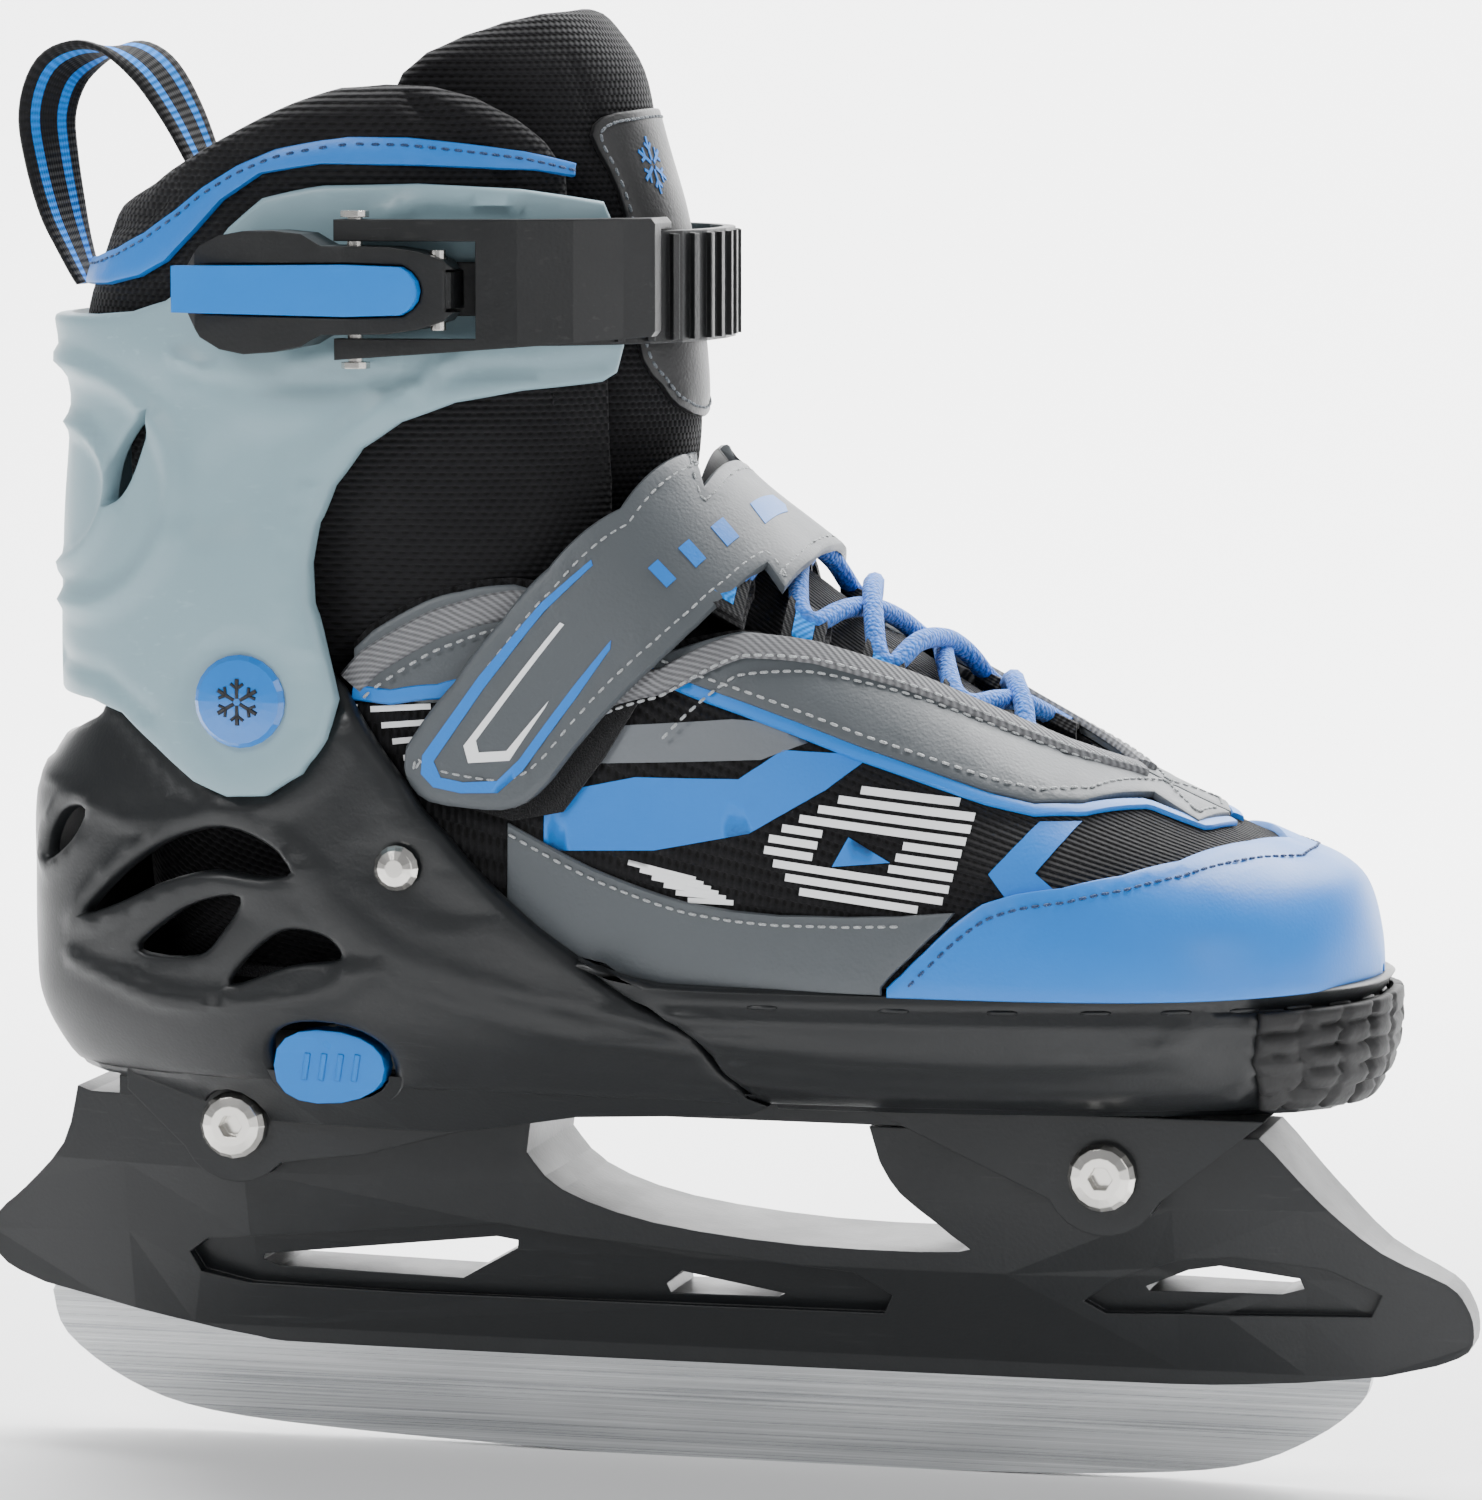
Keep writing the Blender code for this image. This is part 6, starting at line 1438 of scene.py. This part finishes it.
def lace_height(x):
    return table(LACE_ROWS, x)[0]


def make_laces():
    """Blue round lace through webbing loops, crossing over the tongue in high soft bends."""
    hooks = [(9, 25.5), (23, 22), (37, 18.5), (51, 15), (64, 11.5)]
    points, faces = [], []
    for start_side in (-1, 1):
        path = []
        side = start_side
        for k, (x, y) in enumerate(hooks):
            y_turn = y * side
            path.append((x - 1.5, y_turn * 1.02, lace_height(x - 1.5) + 1.0))
            path.append((x + 1.5, y_turn * 1.04, lace_height(x + 1.5) + 0.8))
            if k + 1 < len(hooks):
                lift = 10.0 - 1.4 * k if start_side < 0 else 6.0 - 1.0 * k
                x_middle = x + 7
                path.append((x + 4.4, y_turn * 0.62, lace_height(x + 4.4) + lift * 0.82))
                path.append((x_middle, 0.0, lace_height(x_middle) + lift))
                path.append((x + 9.8, -hooks[k + 1][1] * side * 0.6, lace_height(x + 9.8) + lift * 0.7))
            side = -side
        path = smooth([(x, y + swing(x), z) for x, y, z in path], 5)
        rings = sweep_rings(even(path, 0.9), lambda t: circle(1.95, 10))
        base = len(points)
        for ring in rings:
            points += ring
        for r in range(len(rings) - 1):
            for i in range(10):
                j = (i + 1) % 10
                faces.append((base + r * 10 + i, base + r * 10 + j, base + r * 10 + 10 + j, base + r * 10 + 10 + i))
        faces.append(tuple(range(base, base + 10))[::-1])
        faces.append(tuple(range(len(points) - 10, len(points))))
    mesh_piece("lace", points, faces, "toe", FINISH["lace"], ["laces"], sharp=80)
    for index, (x, y) in enumerate(hooks):
        for side in (-1, 1):
            webbing_loop("lace_loop_" + str(index) + ("_medial" if side > 0 else "_lateral"), x, y, side)


def webbing_loop(name, x, y, side):
    """Folded webbing loop that holds the lace, with its woven tab."""
    rings, lay, tabs = [], [], []
    top = lace_height(x)
    slope = (lace_height(x + 3) - lace_height(x - 3)) / 6
    profile = [(7.5, -5.0), (5.0, -2.2), (2.6, 0.2), (0.4, 2.0), (-1.7, 2.2), (-2.6, 0.6), (-1.8, -1.2), (0.6, -2.0),
               (3.6, -4.0), (6.4, -6.6)]
    run = 0.0
    for i, (out, up) in enumerate(profile):
        run += math.dist(profile[i - 1], (out, up)) if i else 0.0
        nxt, prv = profile[min(i + 1, len(profile) - 1)], profile[max(i - 1, 0)]
        along = Vector((nxt[0] - prv[0], nxt[1] - prv[1])).normalized()
        normal = Vector((-along.y, along.x)) * 0.55
        ring = []
        for a, b in ((-3.7, -1), (3.7, -1), (3.7, 1), (-3.7, 1)):
            ring.append(Vector((x + a, side * (y + out + normal.x * b) + swing(x), top + slope * a + up + normal.y * b)))
            lay.append((a, run))
        rings.append(ring)
    loft_piece(name, rings, "toe", FINISH["webbing"], lay=lay, sharp=50)
    rings, lay = [], []
    for out, up in ((6.6, -3.2), (4.8, -1.3), (3.0, 0.6)):
        rings.append([Vector((x + a, side * (y + out) + swing(x), top + slope * a + up + b))
                      for a, b in ((-1.8, 0), (1.8, 0), (1.8, 0.7), (-1.8, 0.7))])
        lay += [(a, out) for a in (-1.8, 1.8, 1.8, -1.8)]
    loft_piece(name + "_tab", rings, "toe", FINISH["tab"], lay=lay, sharp=50)


# ---------------------------------------------------------------- small hard details


def flat_marks(name, centre, axis_y, side, loops, depth, body, material):
    """Raised marks on a face that looks along Y."""
    points, faces = [], []
    for loop in loops:
        loop = anticlockwise(loop)
        start = len(points)
        count = len(loop)
        small = inset(loop, 0.15)
        for ring, height in ((loop, 0.0), (loop, depth * 0.7), (small, depth)):
            points += [(centre[0] + a, side * (axis_y + height), centre[1] + b) for a, b in ring]
        for r in range(2):
            for i in range(count):
                j = (i + 1) % count
                faces.append((start + r * count + i, start + r * count + j, start + (r + 1) * count + j,
                              start + (r + 1) * count + i))
        faces.append(tuple(start + i for i in range(count))[::-1])
        faces.append(tuple(start + 2 * count + i for i in range(count)))
    return mesh_piece(name, points, faces, body, material)


def make_cap_marks():
    for side, word in ((LATERAL, "lateral"), (MEDIAL, "medial")):
        low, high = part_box("pivot_cap_" + word)
        face = max(abs(low[1]), abs(high[1])) / MM
        loops = []
        for k in range(6):
            turn = math.radians(60 * k + 30)
            arm = Vector((math.cos(turn), math.sin(turn)))
            loops.append(bar_loop(arm * 0.6, arm * 4.4, 0.8))
            for sign in (-1, 1):
                twig = Vector((math.cos(turn + sign * 0.9), math.sin(turn + sign * 0.9)))
                loops.append(bar_loop(arm * 2.5, arm * 2.5 + twig * 1.6, 0.6))
        flat_marks("cap_emblem_" + word, PIVOT, face - 0.5, side, loops, 0.65, "cuff", FINISH["ink"])


def make_button_grip():
    low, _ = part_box("size_button")
    face = -low[1] / MM
    loops = [bar_loop((-5 + 3.3 * k, -2.6), (-5 + 3.3 * k + 0.8, 2.6), 1.1) for k in range(4)]
    flat_marks("button_grip", BUTTON, face - 0.1, LATERAL, loops, 0.45, "button", FINISH["blue"])


def make_welt():
    """Blind-stitched channel round the top of the sliding sole."""
    line = seen(TOE, [(6, 94.9), (20, 94.9), (45, 94.9), (70, 94.9), (95, 94.9), (112, 94.9), (122, 94.9)], LATERAL)
    line += [(0, 94.9)]
    line += [(-u, v) for u, v in line[:-1][::-1]]
    stitches("welt_seam", "toe", FINISH["shell"], [(TOE, line, -0.55)], pitch=7.4, length=5.6,
             radius=0.55)


def make_bumper():
    """Rubber toe tread: an uneven net of grooves."""
    half = seen(TOE, [(109.4, 94.6), (108.2, 85), (108.2, 76.4)], LATERAL)
    loop = half + [(0, 76.0)] + [(-u, v) for u, v in half[::-1]] + [(0, 95.2)]
    loop = anticlockwise(loop)
    edge = max(u for u, v in loop)
    lines = []
    for k in range(4):
        z = 79.6 + 3.9 * k
        lines.append(([(-edge, z - 0.8), (-edge / 2, z + 0.7), (0, z - 0.4), (edge / 2, z + 0.7), (edge, z - 0.8)],
                      0.75, -1.3))
    count = 9
    for k in range(1, count):
        u = -edge + 2 * edge * k / count
        lines.append(([(u - 1.2, 75.5), (u + 0.8, 82), (u - 0.8, 88.5), (u + 0.6, 96)], 0.7, -1.2))
    patch("toe_tread", TOE, loop, "toe", FINISH["rubber"], lift=0.3, thick=2.0, pitch=1.0,
          edge=0.7, lines=lines, replaced=["toe_bumper"], sharp=60)


BOOT_ROWS = [(96.4, -109, 93, 27.0), (104, -111, 94, 28.6), (114, -112, 88, 29.2), (124, -112, 77, 28.8),
             (134, -112, 61, 28.0), (144, -112, 44, 27.4), (154, -112, 28, 27.2), (164, -112, 12, 27.4),
             (172, -112, 0, 28.2)]


def make_inner_boot():
    """Cloth-faced lining of the foot, and the cushioned insole in it."""
    loops = []
    for z, back, front, half in BOOT_ROWS:
        ring = []
        for k in range(72):
            angle = 2 * math.pi * k / 72
            middle, reach = (back + front) / 2, (front - back) / 2
            ring.append(Vector((middle + reach * power(math.cos(angle), 0.82),
                                half * power(math.sin(angle), 0.82) + swing(middle), z)))
        loops.append(ring)
    points, faces = [], []
    for ring, grow in [(r, 1.6) for r in loops] + [(r, 0.0) for r in loops[::-1]]:
        centre = sum(ring, Vector()) / len(ring)
        for p in ring:
            away = Vector((p.x - centre.x, p.y - centre.y, 0)).normalized()
            points.append(p + away * grow)
    count = 72
    rings = len(points) // count
    for r in range(rings):
        for i in range(count):
            j = (i + 1) % count
            after = (r + 1) % rings
            faces.append((r * count + i, r * count + j, after * count + j, after * count + i))
    lay = [(p.x, p.z + abs(p.y)) for p in points]
    mesh_piece("boot_lining", points, faces, "chassis", FINISH["knit"], lay=lay, sharp=80)
    sole = []
    for height, grow in ((93.2, -1.8), (93.2, -0.6), (95.6, -0.3), (96.6, -1.2), (96.9, -3.0)):
        sole.append([Vector((p.x + (-grow if p.x < -8 else grow), p.y * (1 + grow / 28), height)) for p in loops[0]])
    rows = [(p.x, p.y) for ring in sole for p in ring]
    loft_piece("footbed_cushion", sole, "chassis", FINISH["footbed"], ["insole"], lay=rows)


# ---------------------------------------------------------------- studio


def make_camera():
    azimuth, elevation, distance = math.radians(14), math.radians(6), 1.3
    target = Vector((0.0043, 0.0, 0.1377))
    away = Vector((math.sin(azimuth) * math.cos(elevation), -math.cos(azimuth) * math.cos(elevation),
                   math.sin(elevation)))
    data = bpy.data.cameras.new("camera")
    camera = bpy.data.objects.new("camera", data)
    bpy.context.scene.collection.objects.link(camera)
    camera.location = target + away * distance
    camera.rotation_euler = away.to_track_quat("Z", "Y").to_euler()
    data.lens = 162.9
    data.sensor_width = 36.0
    data.clip_start = 0.05
    bpy.context.scene.camera = camera


def area_light(name, spot, aim, size, power_w, colour=(1, 1, 1), size_y=None):
    data = bpy.data.lights.new(name, "AREA")
    data.energy = power_w
    data.color = colour
    data.size = size
    if size_y:
        data.shape = "RECTANGLE"
        data.size_y = size_y
    light = bpy.data.objects.new(name, data)
    bpy.context.scene.collection.objects.link(light)
    light.location = spot
    light.rotation_euler = (Vector(spot) - Vector(aim)).to_track_quat("Z", "Y").to_euler()


def make_studio():
    """Pale seamless sweep, a broad key, a fill and a light that washes the back wall."""
    profile = [(-5.0, 0.0), (1.1, 0.0)]
    profile += [(1.1 + 0.9 * math.sin(a), 0.9 - 0.9 * math.cos(a)) for a in [math.pi / 2 * i / 24 for i in range(1, 25)]]
    profile += [(2.0, 5.0)]
    points = [(x, y, z) for y, z in profile for x in (-6, 6)]
    faces = [(2 * i, 2 * i + 1, 2 * i + 3, 2 * i + 2) for i in range(len(profile) - 1)]
    mesh = bpy.data.meshes.new("sweep")
    mesh.from_pydata(points, [], faces)
    mesh.shade_smooth()
    floor = bpy.data.objects.new("sweep", mesh)
    bpy.context.scene.collection.objects.link(floor)
    material, _, _ = new_material("sweep_paper", 0.7, Base_Color=(0.92, 0.92, 0.92, 1.0), Specular_IOR_Level=0.2)
    mesh.materials.append(material)
    world = bpy.data.worlds.new("studio")
    bpy.context.scene.world = world
    world.use_nodes = True
    world.node_tree.nodes["Background"].inputs[0].default_value = (0.95, 0.97, 1.0, 1)
    world.node_tree.nodes["Background"].inputs[1].default_value = 0.38
    aim = (0, 0, 0.14)
    area_light("key", (-0.8, -1.3, 1.25), aim, 0.55, 19)
    area_light("fill", (1.5, -1.0, 0.6), aim, 0.9, 8)
    area_light("rim", (0.5, 0.9, 1.0), aim, 0.6, 12)
    area_light("wall_wash", (0.0, 0.7, 1.9), (0.0, 2.0, 0.5), 2.4, 190, size_y=0.6)
    area_light("floor_wash", (0.0, 1.0, 1.6), (0.0, 0.9, 0.0), 2.4, 22, size_y=0.5)


def main():
    make_camera()
    make_studio()
    repaint_kept_nodes()
    make_cuff()
    make_heel_shell()
    make_toe_sole()
    make_collar()
    make_ankle_knit()
    make_tongue()
    make_tongue_shield()
    make_collar_trim()
    make_pull_loop()
    make_vamp()
    make_vamp_tongue()
    make_toe_cap()
    make_rands()
    make_eyestays()
    make_side_prints()
    make_rear_panel()
    make_strap()
    make_laces()
    make_cap_marks()
    make_button_grip()
    make_welt()
    make_bumper()
    make_inner_boot()


main()
